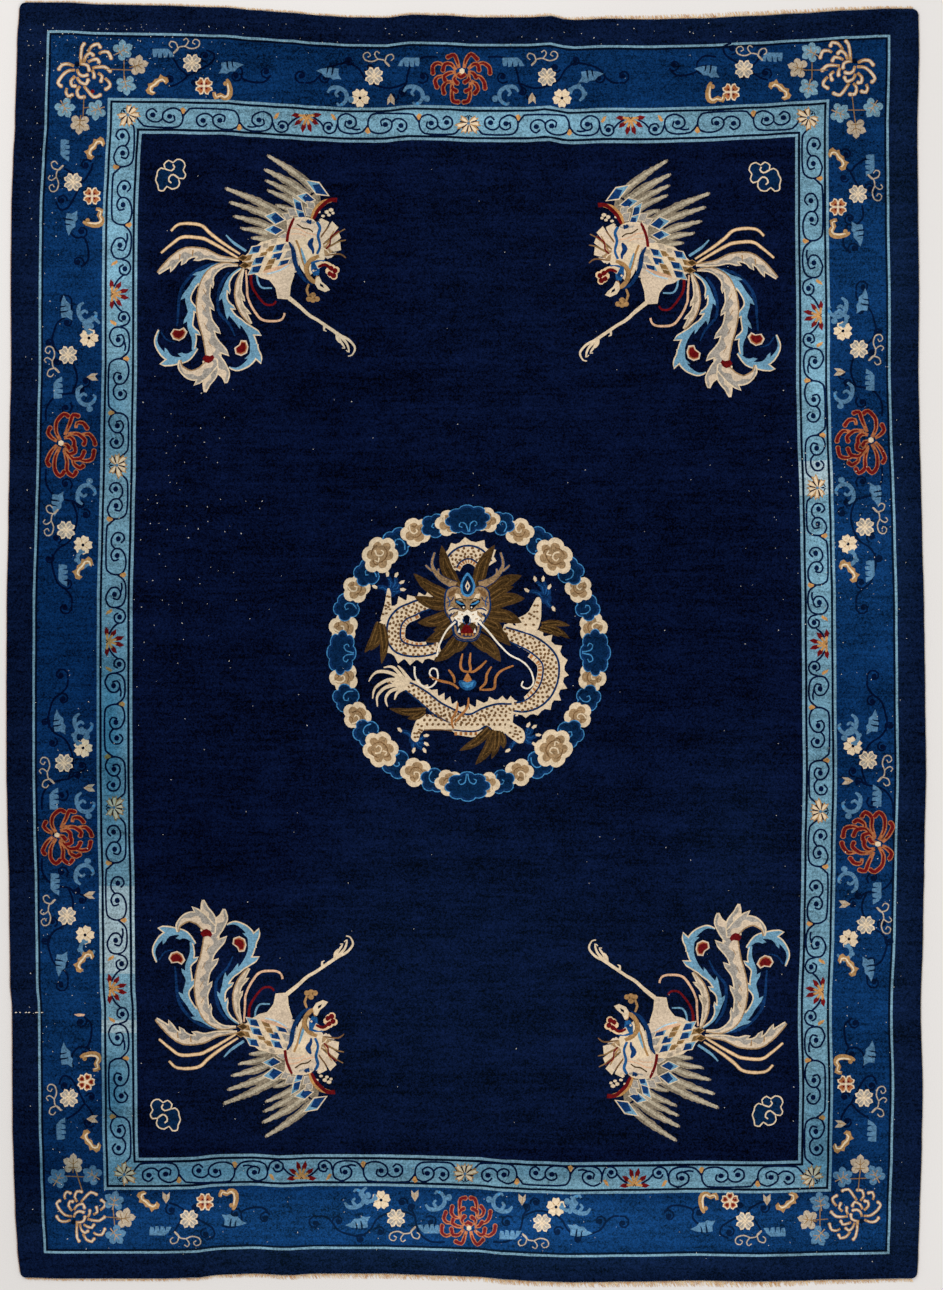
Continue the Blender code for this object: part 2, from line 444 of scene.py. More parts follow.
def tendril(pen):
    for path in paths("-10.6,7.4 -6.2,3 -8.2,-3.2 -13,-4.6 -14.8,-0.8 -11.8,1.6; -10.6,7 -4.4,0.8 "
            "0.8,0.2 4.4,-4.8 2,-7.8 -0.6,-5.8; 0.8,0.2 7.4,2.6 14.2,0.6 15.6,-4.6 10.8,-6.8 8.4,-3.2 "
            "11.2,-1.8"):
        pen.stroke("grey_tan", path, (1.3, 1.2, 1.1))


def lobed_leaf(pen, dye="sky_leaf"):
    """A chrysanthemum's leaf: round lobes, and a light vein in each."""
    for x, y, radius in ((0, 0, 5.2), (0.4, -6.4, 3.6), (-5.6, -2.6, 3.8), (5.8, -2.2, 3.6),
            (-4.8, 4.6, 3.8), (5.2, 4.4, 3.8)):
        pen.dot(dye, x, y, radius, sides=9)
    pen.fill(dye, "-3,-7.4 0.6,-11 3.8,-7")
    pen.fill(dye, "-7,-6 -9.8,-4.4 -8.6,-0.4")
    vein = "tan_dark" if dye == "grey_tan" else "tan_soft"
    pen.stroke(vein, "0,9 0.3,1 0.2,-5.4", (1.2, 0.7))
    for tip in pts("-5.2,3.8 5,3.6 -4.6,-3 4.8,-3.2"):
        pen.stroke(vein, ((0.2, 3.6 if tip[1] > 0 else 0.2), tip), (1, 0.7), curved=False)


# %% Large chrysanthemums
# Petals as paths around the seed. On the side flowers they sweep towards the field,
# on the upper and lower ones they fall to both sides, and in a corner they turn all
# ways, some of them grown from other petals.
SIDE_PETALS = paths("-1,-3 -5,-12 -4,-22 3,-29 7,-27; 4,-8 9,-20 12,-28 17,-27; 15,-15 16,-20 22,-20 "
    "26,-15; 7,-9 17,-9 24,-3 23,1; 20,-8 28,-9 33,-3 34,1; 3,-5 9,-6 13,-2 13,3; 1,1 6,2 8,5; 3,5 "
    "8,11 14,9 14,5; 5,8 12,16 20,15 23,9; 15,15 24,18 31,16 33,8; 12,14 13,21 19,25 22,23; 3,7 6,18 "
    "6,28 12,33 15,29; -1,4 -6,15 -6,27 -1,33 3,29; -4,2 -10,9 -14,18 -12,22; -4,-2 -9,-5 -13,-10 "
    "-11,-15")
END_PETALS = paths("-3,-3 -5,-10 -8,-16 -14,-14; 2,-3 4,-11 9,-17 15,-12; -6,-1 -11,-7 -17,-7 -19,-1; "
    "-17,-5 -24,-8 -29,-5 -29,2; 6,-2 12,-7 16,-6 17,-1; 14,-6 21,-8 27,-4 28,2; -6,1 -13,2 -18,5 "
    "-17,9; -17,5 -24,6 -27,10 -25,16; 6,1 11,2 14,6; 12,4 18,6 22,11 23,17; -1,2 -4,4 -1,6 2,4; -5,3 "
    "-8,8 -5,12; 6,3 7,8 3,11; -9,11 -15,11 -19,16 -18,22; 9,10 14,13 16,18 13,22; -9,11 -10,17 "
    "-6,20; 8,11 9,17 4,20; -10,14 -10,24 -9,30 -4,31; 8,15 8,24 6,30 2,31")
CORNER_PETALS = paths("2,-5 2,-14 3,-22 5,-25; 5,-7 7,-13 11,-16 14,-14; 9,-17 13,-23 19,-25 21,-22; "
    "20,-15 23,-17 29,-17 32,-11; 9,-7 13,-9 18,-10 20,-7; -1,-5 5,-5 9,-3 10,1; 13,-1 19,-2 26,-2 "
    "31,2; 13,1 15,5 15,8; 19,4 23,7 22,12; 26,9 30,13 31,17 27,20; -2,0 0,5 4,7 8,6; -2,8 1,13 7,15 "
    "9,11; 5,17 9,22 15,28 21,26; 1,17 -2,22 0,28 5,28; -4,7 -8,12 -7,17 -4,17; -12,19 -13,23 -11,27 "
    "-7,26; -4,1 -11,2 -17,7 -21,14 -18,17; -5,-3 -11,-5 -17,-4 -20,0")


def chrysanthemum(pen, petals, core, rim, centre, width, seed=(0, 0)):
    """A chrysanthemum with its seed at the pen's middle; each petal ends in a knob."""
    for path in petals:
        pen.stroke(rim, path, [width * s + 1.3 for s in (0.6, 0.9, 1, 1)])
        pen.dot(rim, *path[-1], width / 2 + 1.15)
    for path in petals:
        # The core begins a little way out, so that the rims meet around the seed
        first = tuple((np.array(path[0]) + path[1]) / 2)
        pen.stroke(core, (first,) + tuple(path[1:]), [width * s for s in (0.3, 0.75, 1, 1)])
        pen.dot(core, *path[-1], width / 2 + 0.3)
    pen.dot(centre, *seed, 2.9, sides=6)


# %% Flowers of the narrow band
def star_flower(pen):
    """A pale flower that opens towards the field, with blunt split petals."""
    for turn, reach, wide in ((-134, 14, 2.9), (-98, 11.6, 2.6), (-60, 12.8, 3), (-16, 14.4, 3.2),
            (-174, 12.8, 2.9), (146, 11.6, 2.8), (36, 11.4, 2.8)):
        leaf = pen.moved(0, 1.5, turn)
        leaf.fill("tan", ((0.8, -0.8), (5, -wide), (reach - 1.6, -wide * 0.9), (reach - 3, -0.4),
            (reach, 1.6), (reach - 2.6, wide * 0.8), (5, wide), (0.8, 1)))
        leaf.fill("ivory", ((1.6, -0.4), (5, -wide * 0.5), (reach - 3.6, -1.4), (reach - 2.6, 1.6),
            (5, wide * 0.45), (1.6, 0.8)))
    for turn in (-116, -79, -38, 10, 164):
        pen.moved(0, 1.5, turn).stroke("vine", "2.4,0 8.6,0", (0.9, 1.5), curved=False)
    pen.dot("sky_leaf", 0, 1, 1.6)
    pen.stroke("vine", "-3.4,7.4 -0.6,9 0.2,4.4 1,9 3.8,7.2", 1.3)


def lotus_star(pen):
    """A lotus seen from the side: red petals on tan shafts that fan towards the field."""
    for x, y in pts("-14,8.2 -11.4,-1.4 -4.2,-8.6 4.2,-8.8 11.6,-1.6 14.2,8"):
        reach = math.hypot(x, y - 7)
        leaf = pen.moved(0, 7, math.degrees(math.atan2(y - 7, x)))
        leaf.fill("rust_light", ((0, -0.8), (reach * 0.55, -1.6), (reach * 0.62, 1.6), (0, 0.8)))
        leaf.fill("red", ((reach * 0.42, -1.2), (reach * 0.68, -2.5), (reach + 1.2, -0.6),
            (reach * 0.82, 2.3), (reach * 0.52, 1.8), (reach * 0.58, 0)))
    pen.fill("rust_light", "-3.4,8.6 -2.4,4 0,2.6 2.6,4 3.4,8.6")
    pen.stroke("vine", "-1.4,8.8 0,6.6 1.4,8.8", 1, curved=False)

# %% [markdown]
# ## Sprays of the main border
#
# From each red chrysanthemum a spray grows both ways along the border, and from each
# pale one in a corner a spray grows along both sides. The sprays are alike but were
# knotted from memory, so each flower sits a little differently. The layout names every
# piece as a knotter might call it out, with its column and row on the paper.

# %% Vines
def vine(pen, stretch=1):
    """The dark vine of a spray, hard to see on the blue, with curled ends."""
    runs = paths("24,-15 38,-14.6 49,-7 53,4 54,11 57,17 54,22; 54,11 68,16 81,14 92,8 99,-3 109,-9 "
        "121,-7 131,-3 137,5 143,10 150,11")
    for run in runs:
        pen.stroke("vine", [(x * stretch, y) for x, y in run], 2.1)
    curls = (
        # middle, radius, where it starts in degrees, turns
        (154, 4, 7.6, 118, -1.35), (131, 6, 6, -10, 1.2), (89, -4.4, 5.6, 20, 1.2),
        (108, -12, 5.6, 150, -1.2), (38, 5, 7, 40, 1.3), (66.5, 24.6, 5.6, 200, -1.2),
        (57, 20, 4.6, -90, 1.1),
    )
    for x, y, radius, start, turns in curls:
        pen.stroke("vine", spiral(x * stretch, y, radius, start, turns * 0.8), 2, curved=False)
        pen.dot("vine", x * stretch, y, 2.6)


def corner_vine(pen, stretch=1):
    for run in paths("97,-12 104,-1 111,6 101,14 92,17; 111,6 123,0 136,-8 138,-16 130,-20; 146,-6 "
            "158,-7 166,0 166,8 176,12 188,12 195,5"):
        pen.stroke("vine", [(x * stretch, y) for x, y in run], 2.1)
    for x, y, radius, start, turns in ((190, 2, 6.6, 40, 1.3), (160, 6, 6.2, 10, 1.3),
            (94, 10, 6.4, 120, 1.2), (129, -14, 6, 80, 1.2), (118, 12, 5, -80, 1.1)):
        pen.stroke("vine", spiral(x * stretch, y, radius, start, turns * 0.8), 2, curved=False)
        pen.dot("vine", x * stretch, y, 2.6)


# %% Layout of the sprays
PIECES = {"H": comb_leaf, "L": wing_leaf, "C": cloud_curl, "K": hook_leaf, "T": tan_hook, "J": tan_crook,
    "b": bud, "N": tendril, "G": grey_flower, "I": ivory_flower, "R": red_flower, "M": red_ivory_flower}
# Along and across, for a spray that runs on: left, right, upper or lower border
ACROSS = {"left": (1, 0), "right": (-1, 0), "upper": (0, 1), "lower": (0, -1)}
# Side, flower it grows from, direction along, vine's end, and its pieces
SPRAYS = (("left", (61, 443), (0, -1), 300,
    "H58,388 C86,398 b93,377 N52,362 G68,355 I89,338 " "K94,326 C87,315 L67,308"), ("left", (61, 443),
    (0, 1), 609, "C86,492 L58,504 N51,520 G66,530 I83,545 K86,558 " "T82,568 H63,575"), ("left",
    (57, 835), (0, -1), 674,
    "H54,799 C85,805 b90,788 N47,773 G64,763 I83,748 " "K83,737 C83,726 L60,722"), ("left", (57, 835),
    (0, 1), 986, "C84,872 H55,884 b90,895 N48,910 G67,916 I85,935 " "K89,948 T83,961 L62,964"), ("right",
    (867, 440), (0, -1), 286,
    "H870,380 C844,395 b839,372 N876,350 G859,349 " "I843,331 K838,319 C838,310 L862,301"), ("right",
    (867, 440), (0, 1), 609,
    "C845,491 L875,495 N880,518 G865,527 I848,544 " "K847,558 T850,571 H870,571"), ("right", (878, 844),
    (0, -1), 675, "H877,796 C852,805 b847,781 N885,771 G868,760 " "I853,746 K850,737 C848,727 L872,722"),
    ("right", (878, 844), (0, 1), 983,
    "C848,880 H877,893 b844,904 N884,918 G866,925 " "I849,939 K843,952 T849,965 L868,969"), ("upper",
    (463, 72), (-1, 0), 300, "H409,62 C416,95 b391,100 N379,59 G374,76 I360,98 " "C340,96 L329,74"), (
    "upper", (463, 72), (1, 0), 624,
    "H513,62 C506,95 b532,99 N542,58 G547,77 I562,98 " "K577,95 L591,77"), ("lower", (469, 1227), (-1, 0),
    314, "H429,1229 C438,1201 b415,1195 N405,1234 " "G396,1218 I381,1200 K369,1193 C357,1199 L358,1222"),
    ("lower", (469, 1227), (1, 0), 624,
    "H510,1235 C500,1203 b522,1199 N533,1241 " "G542,1223 I556,1207 K568,1202 C578,1205 L580,1230"), (
    "left", (76, 70), (0, 1), 262, "T94,148 H65,150 N56,176 G73,182 R92,196 J93,217 L72,223"), ("left",
    (79, 1220), (0, -1), 1022,
    "T90,1141 H61,1129 b93,1119 N54,1100 G69,1098 " "M86,1082 J90,1062 L67,1055"), ("right", (856, 63),
    (0, 1), 248, "T839,159 H870,165 N875,185 G858,194 R838,207 " "J840,228 L857,234"), ("right",
    (857, 1218), (0, -1), 1023,
    "T844,1142 H872,1131 b840,1124 N879,1102 " "G864,1098 R846,1084 J845,1065 L869,1053"), ("upper",
    (76, 70), (1, 0), 266, "T157,84 H163,53 N184,46 G192,63 R204,86 J222,89 L231,68"), ("upper",
    (856, 63), (-1, 0), 674, "T780,89 H772,57 N752,53 G744,69 R731,92 J716,92 " "L707,72"), ("lower",
    (79, 1220), (1, 0), 265,
    "T148,1202 b166,1197 H160,1231 N185,1239 G189,1219 " "R205,1202 J228,1200 L234,1220"), ("lower",
    (857, 1218), (-1, 0), 669,
    "T787,1203 H775,1232 b767,1199 N751,1238 " "G745,1221 M730,1201 J709,1203 L703,1226"))
CORNERS = pts("76,70 856,63 79,1220 857,1218")


def lay_spray(side, flower, along, end, pieces):
    across = ACROSS[side]
    start = Pen(flower, along, across)
    reach = abs(end - (flower[1] if along[0] == 0 else flower[0]))
    if flower in CORNERS:
        corner_vine(start, reach / 190)
    else:
        vine(start, reach / 155)
    for word in pieces.split():
        column, row = (float(number) for number in word[1:].split(","))
        PIECES[word[0]](Pen((column, row), along, across))


for spray in SPRAYS:
    lay_spray(*spray)
print(len(SPRAYS), "sprays,", len(cartoon), "shapes")

# %% Large flowers of the border
# Seed's place, two directions of its pen, size along each, and its petals
RED_FLOWERS = (((462, 71), (1, 0), (0, 1), END_PETALS), ((469, 1228), (0.93, 0), (0, -0.97), END_PETALS),
    ((61, 443), (1, 0), (0, 1), SIDE_PETALS), ((57, 835), (1.02, 0), (0, 0.86), SIDE_PETALS), ((871, 440),
    (-1, 0), (0, 1), SIDE_PETALS), ((878, 844), (-1.06, 0), (0, -0.96), SIDE_PETALS))
for seed, along, across, petals in RED_FLOWERS:
    chrysanthemum(Pen(seed, along, across), petals, "red", "rust", "ivory", 3.2)
for seed, flip, turn, width in (((79, 69), (1, 1), 0, 2.3), ((853, 66), (-1, 1), 4, 2.3),
        ((75.5, 1217.5), (0.93, -0.93), -3, 1.8), ((860, 1216.5), (-0.93, -0.93), 5, 1.8)):
    flower = Pen(seed, (flip[0], 0), (0, flip[1])).moved(0, 0, turn)
    chrysanthemum(flower, CORNER_PETALS, "cream", "tan", "dark", width, (-2, -5))
Pen().dot("red", 92.6, 91.4, 2)

# Column, row, turn and dye of each leaf that hangs beside a corner flower
CORNER_LEAVES = ((123, 50, 60, "sky"), (138, 65, 75, "grey_tan"), (126, 85, 170, "sky"),
    (65, 108, 150, "sky"), (96, 110, 250, "sky"), (80, 124, 185, "grey_tan"), (811, 52, -60, "sky"),
    (798, 68, -75, "grey_tan"), (809, 88, 190, "sky"), (840, 113, 110, "sky"), (873, 108, 210, "sky"),
    (856, 128, 175, "grey_tan"), (73, 1164, 0, "grey_tan"), (58, 1178, 30, "sky_leaf"),
    (92, 1175, -60, "sky_leaf"), (114, 1201, 10, "sky_leaf"), (125, 1218, 80, "grey_tan"),
    (116, 1235, 140, "sky_leaf"), (820, 1202, -10, "sky_leaf"), (808, 1220, -80, "grey_tan"),
    (819, 1236, 220, "sky_leaf"), (860, 1165, 0, "grey_tan"), (843, 1177, 60, "sky_leaf"),
    (875, 1175, -30, "sky_leaf"))
CORNER_STEMS = paths("104,69 132,70; 124,58 124,80; 84,96 83,118; 72,96 68,102; 84,108 90,107; 828,70 "
    "804,70; 812,60 812,80; 852,94 855,121; 846,110 866,110; 82,1190 76,1171; 64,1176 87,1177; "
    "106,1217 120,1218; 113,1208 115,1228; 858,1192 860,1172; 848,1179 870,1178; 828,1219 814,1220; "
    "820,1209 820,1229")
for start, end in CORNER_STEMS:
    Pen().stroke("tan_dark", (start, end), 1.1, curved=False)
for column, row, turn, dye in CORNER_LEAVES:
    lobed_leaf(Pen((column, row)).moved(0, 0, turn), dye)
print(len(cartoon), "shapes with the large flowers")

# %% [markdown]
# ## The scrolling vine of the narrow band
#
# Between a pale flower and a lotus the vine makes three bows, by turns on one side of
# the band and on the other. Each bow curls back into a coil, and a second coil grows
# from the first. Every stretch of the band repeats this, stretched to its own length.

# %% Scrolls
def coiled_bow(pen, start, long, loop, stretch, twin=True):
    """A bow from this far along the pen; it curls back into a coil and its twin or a twig."""
    back = long - 11 - loop
    lines = [((0, -1.5), (5, -7.5), (11, -10), (long - 10, -10), (long - 2.5, -6.8), (long, 0),
        (long - 1.8, 6.4), (long - 8.6, 9.6), (back + 1, 9.2), (back - 6.2, 4.8), (back - 6.8, -1.8),
        (back - 0.6, -5.2), (back + 5, -2.4), (back + 3.4, 2.6))]
    hearts = [(back - 0.2, 1)]
    if twin:
        lines.append(((back - 6.7, -0.8), (back - 11, -4.6), (back - 17.6, -4.8), (back - 23, -0.8),
            (back - 22.4, 5.4), (back - 16.8, 8), (back - 12.8, 4.4)))
        hearts.append((back - 17, 1.8))
    else:
        lines.append(((back - 1.6, -5), (back - 7, -6.4), (back - 12, -5.6)))
    for path in lines:
        pen.stroke("vine_fine", [((start + x) * stretch, y) for x, y in path], 1.95)
    for x, y in hearts:
        pen.dot("vine_fine", (start + x) * stretch, y, 3, 2.7, 7)
    if start > 10:
        pen.moved(start * stretch, 0).fill("rust_light", "-2.6,-9.2 -0.4,-4 1.2,-4.4 3,-8 0.4,-10.6")


def scroll_run(pale, lotus, field):
    """The vine from a pale flower to a lotus; field is the way across to the field."""
    pale, lotus, field = (np.array(v, float) for v in (pale, lotus, field))
    along = (lotus - pale) / math.dist(pale, lotus)
    stretch = math.dist(pale, lotus) / 177
    inner, outer = Pen(pale, along, -field), Pen(pale, along, field)
    coiled_bow(inner, 8, 46, 2, stretch)
    coiled_bow(outer, 54, 56, 8, stretch)
    coiled_bow(inner, 110, 33, 2, stretch, twin=False)
    for path in paths("143.4,-1 146,-8 152.6,-10.4 158.4,-6.6 157,-0.6 151,0.6 148.6,-3.4; 158,-4 "
            "163,1.6 170,6"):
        inner.stroke("vine_fine", [(x * stretch, y) for x, y in path], 1.95)
    inner.dot("vine_fine", 152.6 * stretch, -4.6, 3, 2.7, 7)
    inner.moved(144 * stretch, 0).fill("rust_light", "0,3.4 2.8,8.2 6.2,9.6 4.6,5 2.6,2.6")


# The flowers of each side in order: row or column, and kind
BAND_FLOWERS = {"upper": ((123, "star"), (303, "lotus"), (467, "star"), (631, "lotus"), (810, "star")),
    "lower": ((123, "star"), (300, "lotus"), (464, "star"), (634, "lotus"), (812, "star")), "left": (
    (118, ""), (300, "lotus"), (470, "star"), (645, "lotus"), (810, "star"), (990, "lotus"), (1173, "")),
    "right": ((118, ""), (315, "lotus"), (487, "star"), (643, "lotus"), (810, "star"), (990, "lotus"),
    (1171, ""))}
# How far the pale flower in each corner is turned, so that it opens to the field
CORNER_TURNS = {("upper", 123): -45, ("upper", 810): 45, ("lower", 123): 45, ("lower", 812): -45}
for side, stops in BAND_FLOWERS.items():
    for here, there in zip(stops, stops[1:]):
        pale, lotus = (there, here) if here[1] == "lotus" else (here, there)
        scroll_run(*(middle_of_band(side, stop[0]) for stop in (pale, lotus)), ACROSS[side])
for side, stops in BAND_FLOWERS.items():
    across = np.array(ACROSS[side])
    for place, kind in stops:
        pen = Pen(middle_of_band(side, place), (-across[1], across[0]), -across)
        if kind == "star":
            star_flower(pen.moved(0, 0, CORNER_TURNS.get((side, place), 0)))
        elif kind == "lotus":
            lotus_star(pen)
print(len(cartoon), "shapes with the scrolls")

# %% Mends
# Stitches of white yarn where an edge was mended, and a spot that was knotted in pink
for left, right in pts("15,17 19.4,20.6 25,27 28,30 35,38.4 41,43"):
    Pen().stroke("white", ((left, 1012.6), (right, 1012.4)), 0.9, curved=False)
Pen().fill("pink", "74,1014.4 79,1013.6 85,1014.2 84,1016 78,1016.4")

# %% [markdown]
# ## Clouds
#
# Small clouds lie in the corners of the field, and forty of them in two kinds are
# strung into the ring of the medallion. A cloud is a lobed blob with a pale rim and
# one or two curls, the way it is drawn all over Chinese art.

# %% Clouds of the field and the ring
def field_cloud(pen):
    outline = pts("-13.5,-4.5 -10,-8 -5.6,-7 -7,-11.6 -2.6,-15.6 2,-13.4 6,-16.6 11.4,-15.6 "
        "14.2,-10.6 12.2,-6 14.6,-1.6 12.6,2.6 7.6,2.2 8.6,7 6.2,11.4 0.6,13 -4,10.4 -7.4,14.6 "
        "-12.2,14 -13.2,9.2 -15.4,4 -14,-0.6")
    pen.fill("royal_dark", outline, curved=True)
    pen.stroke("ivory", outline, 1.3, closed=True)
    for path in paths("-5.6,-7 0.6,-5.4 3.6,-9 1.8,-11.6; 7.6,2.2 2.4,-1.4 -1.6,0.8 -2.2,5 0.4,6.8"):
        pen.stroke("ivory", path, 1.5)


def ring_cloud(pen, kind, size=1):
    """A cloud of the ring; along runs round the ring and across runs outwards."""
    small = pen.moved(0, 0, 0, size)
    if kind == "blue":
        small.lobed("azure", 16, 14.4, 5, 0.2, 90)
        small.lobed("royal", 16, 14.4, 5, 0.2, 90, 1)
        small.lobed("royal_dark", 12.8, 11.2, 5, 0.24, 90, x=0.6, y=-0.8)
        small.stroke("azure", "-3.4,-10 -5.8,-4 -3.8,1.4 0.8,2.4 2.8,-0.6 0.6,-2.4", (1.2, 1.2, 1.1))
    elif kind == "ivory":
        small.lobed("ivory", 16, 14.6, 5, 0.2, -90)
        small.lobed("tan_soft", 11.6, 10.2, 4, 0.34, -50, y=-0.4)
        small.stroke("ivory", "2.8,9 4.8,3.4 2.2,-0.8 -1.8,0.4 -1.2,3", (1.6, 1.5, 1.2))
        for path in paths("-6,2.4 -4.4,-3.4 1.4,-5.2 6,-2.4; -4.4,6.4 -1.4,4.8 1,7"):
            small.stroke("brown_soft", path, (0.8, 1.3, 0.8))
    elif kind == "big_ivory":
        small.lobed("ivory", 20.4, 18, 6, 0.18, 30)
        small.lobed("tan_soft", 15.4, 13.2, 6, 0.34, 30)
        for path in paths("-9,2 -6.4,-4.6 1.4,-6.4 8,-3.4; -6,8.4 -1,10 5.4,7.2; 8.4,2.6 10.6,-1.2 "
                "9.4,-5"):
            small.stroke("brown_soft", path, (0.9, 1.4, 0.9))
        small.stroke("ivory", "-1,7 2,3 -0.4,-1.6 -4.8,-1 -4.8,2.4", (1.7, 1.5, 1.2))
        small.stroke("ivory", "2.6,-0.6 6.6,-3 7.4,1", (1.5, 1.2))
    else:
        small.lobed("azure", 24, 15.8, 8, 0.15, 22)
        small.lobed("royal", 24, 15.8, 8, 0.15, 22, 1)
        small.lobed("royal_dark", 20.4, 12.4, 8, 0.17, 22)
        for side in (-1, 1):
            small.stroke("azure", ((0.6 * side, -13), (2.6 * side, -4.4), (7.4 * side, -2.4),
                (9.4 * side, -6), (6.4 * side, -7.6)), (1.3, 1.2, 1.1))


MEDALLION = Pen((467.6, 652.6))
# Degrees from the right, going down the page, and the kind of each cloud in one
# quarter; the other quarters follow it, turned and mirrored
RING_QUARTER = ((0, "big_blue", 1), (10.8, "ivory", 0.96), (20, "blue", 0.92), (29, "ivory", 0.98),
    (37.5, "blue", 1), (47, "big_ivory", 0.98), (56.5, "blue", 0.98), (66, "ivory", 1),
    (74.6, "blue", 0.9), (81.6, "ivory", 0.92))
clouds = []
for quarter in range(4):
    for degrees, kind, size in RING_QUARTER:
        turned = degrees if quarter % 2 == 0 else 90 - degrees
        clouds.append((90 * quarter + turned, kind, size, quarter % 2))
clouds = [row for row in clouds if not (row[3] == 1 and row[1] == "big_blue")]
clouds += [(90, "big_blue", 1, 0), (270, "big_blue", 1, 0)]
for degrees, kind, size, _ in sorted(clouds, key=lambda row: row[1].startswith("big")):
    a = math.radians(degrees)
    # No two were knotted quite alike, so each is turned and sized a little differently
    out, turn = 1 + 0.012 * math.sin(degrees * 1.7), 9 * math.sin(degrees * 2.9)
    x, y = 127.6 * out * math.cos(a), 132.6 * out * math.sin(a)
    size *= 1 + 0.05 * math.sin(degrees * 0.83)
    ring_cloud(MEDALLION.moved(x, y, degrees - 90 + turn), kind, size)
for column, row, flip, turn in ((171, 176, 1, 0), (765, 178, -1, 10), (165, 1116, -1, 0),
        (768, 1112, 1, 4)):
    field_cloud(Pen((column, row), (flip, 0)).moved(0, 0, turn))
print(len(clouds), "clouds in the ring")

# %% [markdown]
# ## The dragon
#
# The dragon that looks straight out of a ring of clouds is an old court pattern. It is
# drawn here afresh from plain parts. The body is a path with a width at each point,
# and its fins, scales, edge lines and belly bars are all set out along that one path.

# %% Body of the dragon
def along_path(points, widths):
    """A smooth path with its half width, its own direction and its length so far."""
    line = smooth(points, step=1.6)
    half = np.interp(np.linspace(0, len(widths) - 1, len(line)), range(len(widths)), widths)
    slope = np.gradient(line, axis=0)
    slope /= np.maximum(np.hypot(slope[:, 0], slope[:, 1]), 1e-6)[:, None]
    steps = np.hypot(*np.diff(line, axis=0).T)
    return line, half, slope, np.concatenate(((0,), np.cumsum(steps)))


def dragon_body(pen, points, widths, fin_side, fin_height=6, bars=(0, 0)):
    """One stretch of the body; fins stand on one side and bars lie on the other."""
    line, half, slope, run = along_path(points, widths)
    normal = np.stack((-slope[:, 1], slope[:, 0]), axis=1) * fin_side

    def spot(distance, out):
        """A point at a distance along the path, and this share of its half width out."""
        i = min(int(np.searchsorted(run, distance)), len(run) - 1)
        return line[i] + normal[i] * half[i] * out

    def lane(out, part=slice(None)):
        return line[part] + normal[part] * (half[part] * out)[:, None]

    for k in range(int(run[-1] / 9.2)):
        distance = 4.6 + 9.2 * k
        high = 1 + fin_height * (0.85 + 0.2 * math.sin(5 * k)) / max(half)
        pen.fill("ivory", (spot(distance - 4.5, 0.9), spot(distance + 0.8, high),
            spot(distance + 4.5, 0.9)))
    pen.fill("ivory", np.vstack((lane(1), lane(-0.68)[::-1])))
    if bars[1] > bars[0]:
        first, last = (int(share * len(line)) for share in bars)
        part = slice(first, last)
        pen.fill("ivory", np.vstack((lane(-0.6, part), lane(-1.02, part)[::-1])))
        for k in range(int((run[last - 1] - run[first]) / 5.6)):
            at = run[first] + 1 + 5.6 * k
            pen.fill("orange", (spot(at, -0.68), spot(at + 2.8, -0.68), spot(at + 2.8, -0.97),
                spot(at, -0.97)))
    trim = slice(2, -2)
    pen.stroke("royal", lane(0.60, trim), 2.1, curved=False)
    pen.stroke("royal", lane(-0.60, trim), 1.8, curved=False)
    for k in range(int(run[-1] / 2.9)):
        distance = 1.6 + 2.9 * k
        i = min(int(np.searchsorted(run, distance)), len(run) - 1)
        rows = max(2, round(half[i] * 1.2 / 3.4))
        for r in range(rows):
            if (r + k) % 2 == 0:
                out = -0.42 + 0.82 * r / (rows - 1)
                pen.dot("brown_soft", *spot(distance, out), 1.9, 1.45, 5, 40 * k)


D = MEDALLION
# Arch of the back that rises over the head
dragon_body(D, pts("-18,-85 -13,-94 -6,-99 0.5,-100.4 7.5,-99 14.5,-94 20,-86"), (10.5, 11, 11, 10.5), -1,
    5.4, bars=(0.06, 0.94))
# Loop on the left, and the long bow on the right that ends in the tail
dragon_body(D, pts("-30,-51 -48,-46.6 -56,-43 -65,-39 -72,-31 -74,-21 -73,-12 -67,-5 -54,-1.6 "
    "-40,-2.4 -28,-6"), (7, 9.4, 10.8, 11.2, 11.4, 11.4, 10.8, 10, 8.8, 8.4, 7.6), 1, 6.2,
    bars=(0.20, 0.90))
dragon_body(D, pts("50,57 40,57.6 29,58.4 18,62 6,68 -4,68.4 -15,64 -30,56 -46,43 -62,33 -80,28.4"), (9,
    11, 11.6, 11.8, 11.8, 11.6, 11.2, 10.4, 8.8, 6, 2), 1, 6)
dragon_body(D, pts("34,-21 48,-15.6 63,-9.4 75,-1 82,8 83.5,18 81.5,30 76,41 67,49.4 56,54 44,54"), (8,
    11, 12.6, 13.2, 13.4, 13.4, 13.2, 12.6, 11.4, 8.6, 6), -1, 6, bars=(0.28, 0.88))
# Lower side of the body, where the hind legs leave it
D.fill("ivory","-49,62 -38,62 -20,70 0,72 20,66 36,60 46,62 45,72 41,81 31,81 20,73.6 10,78 -4,78 "
    "-16,77 -42,77 -50,70")
for k in range(60):
    u, v = -46 + (k % 16) * 5.6 + (k // 16 % 2) * 2.8, 63 + (k // 16) * 4.4
    if abs(u - 2) + 1.1 * v > 78 and v < 76:
        D.dot("brown_soft", u, v, 1.9, 1.45, 5, 30 * k)
D.stroke("brown_soft", "-44,77.4 -28,77 -14,78.4", 1.2)
D.fill("ivory", "-16,78 12,78 18,76 16,83 4,84.6 -10,82.4")
for k in range(6):
    D.fill("orange", ((-13 + 5 * k, 79.4), (-10.4 + 5 * k, 79.4), (-10.4 + 5 * k, 83),
        (-13 + 5 * k, 82.6)))
D.stroke("royal", "-14,77.4 -2,78.6 10,78.2 19,73.6 28,80.4 40,82", 1.7)

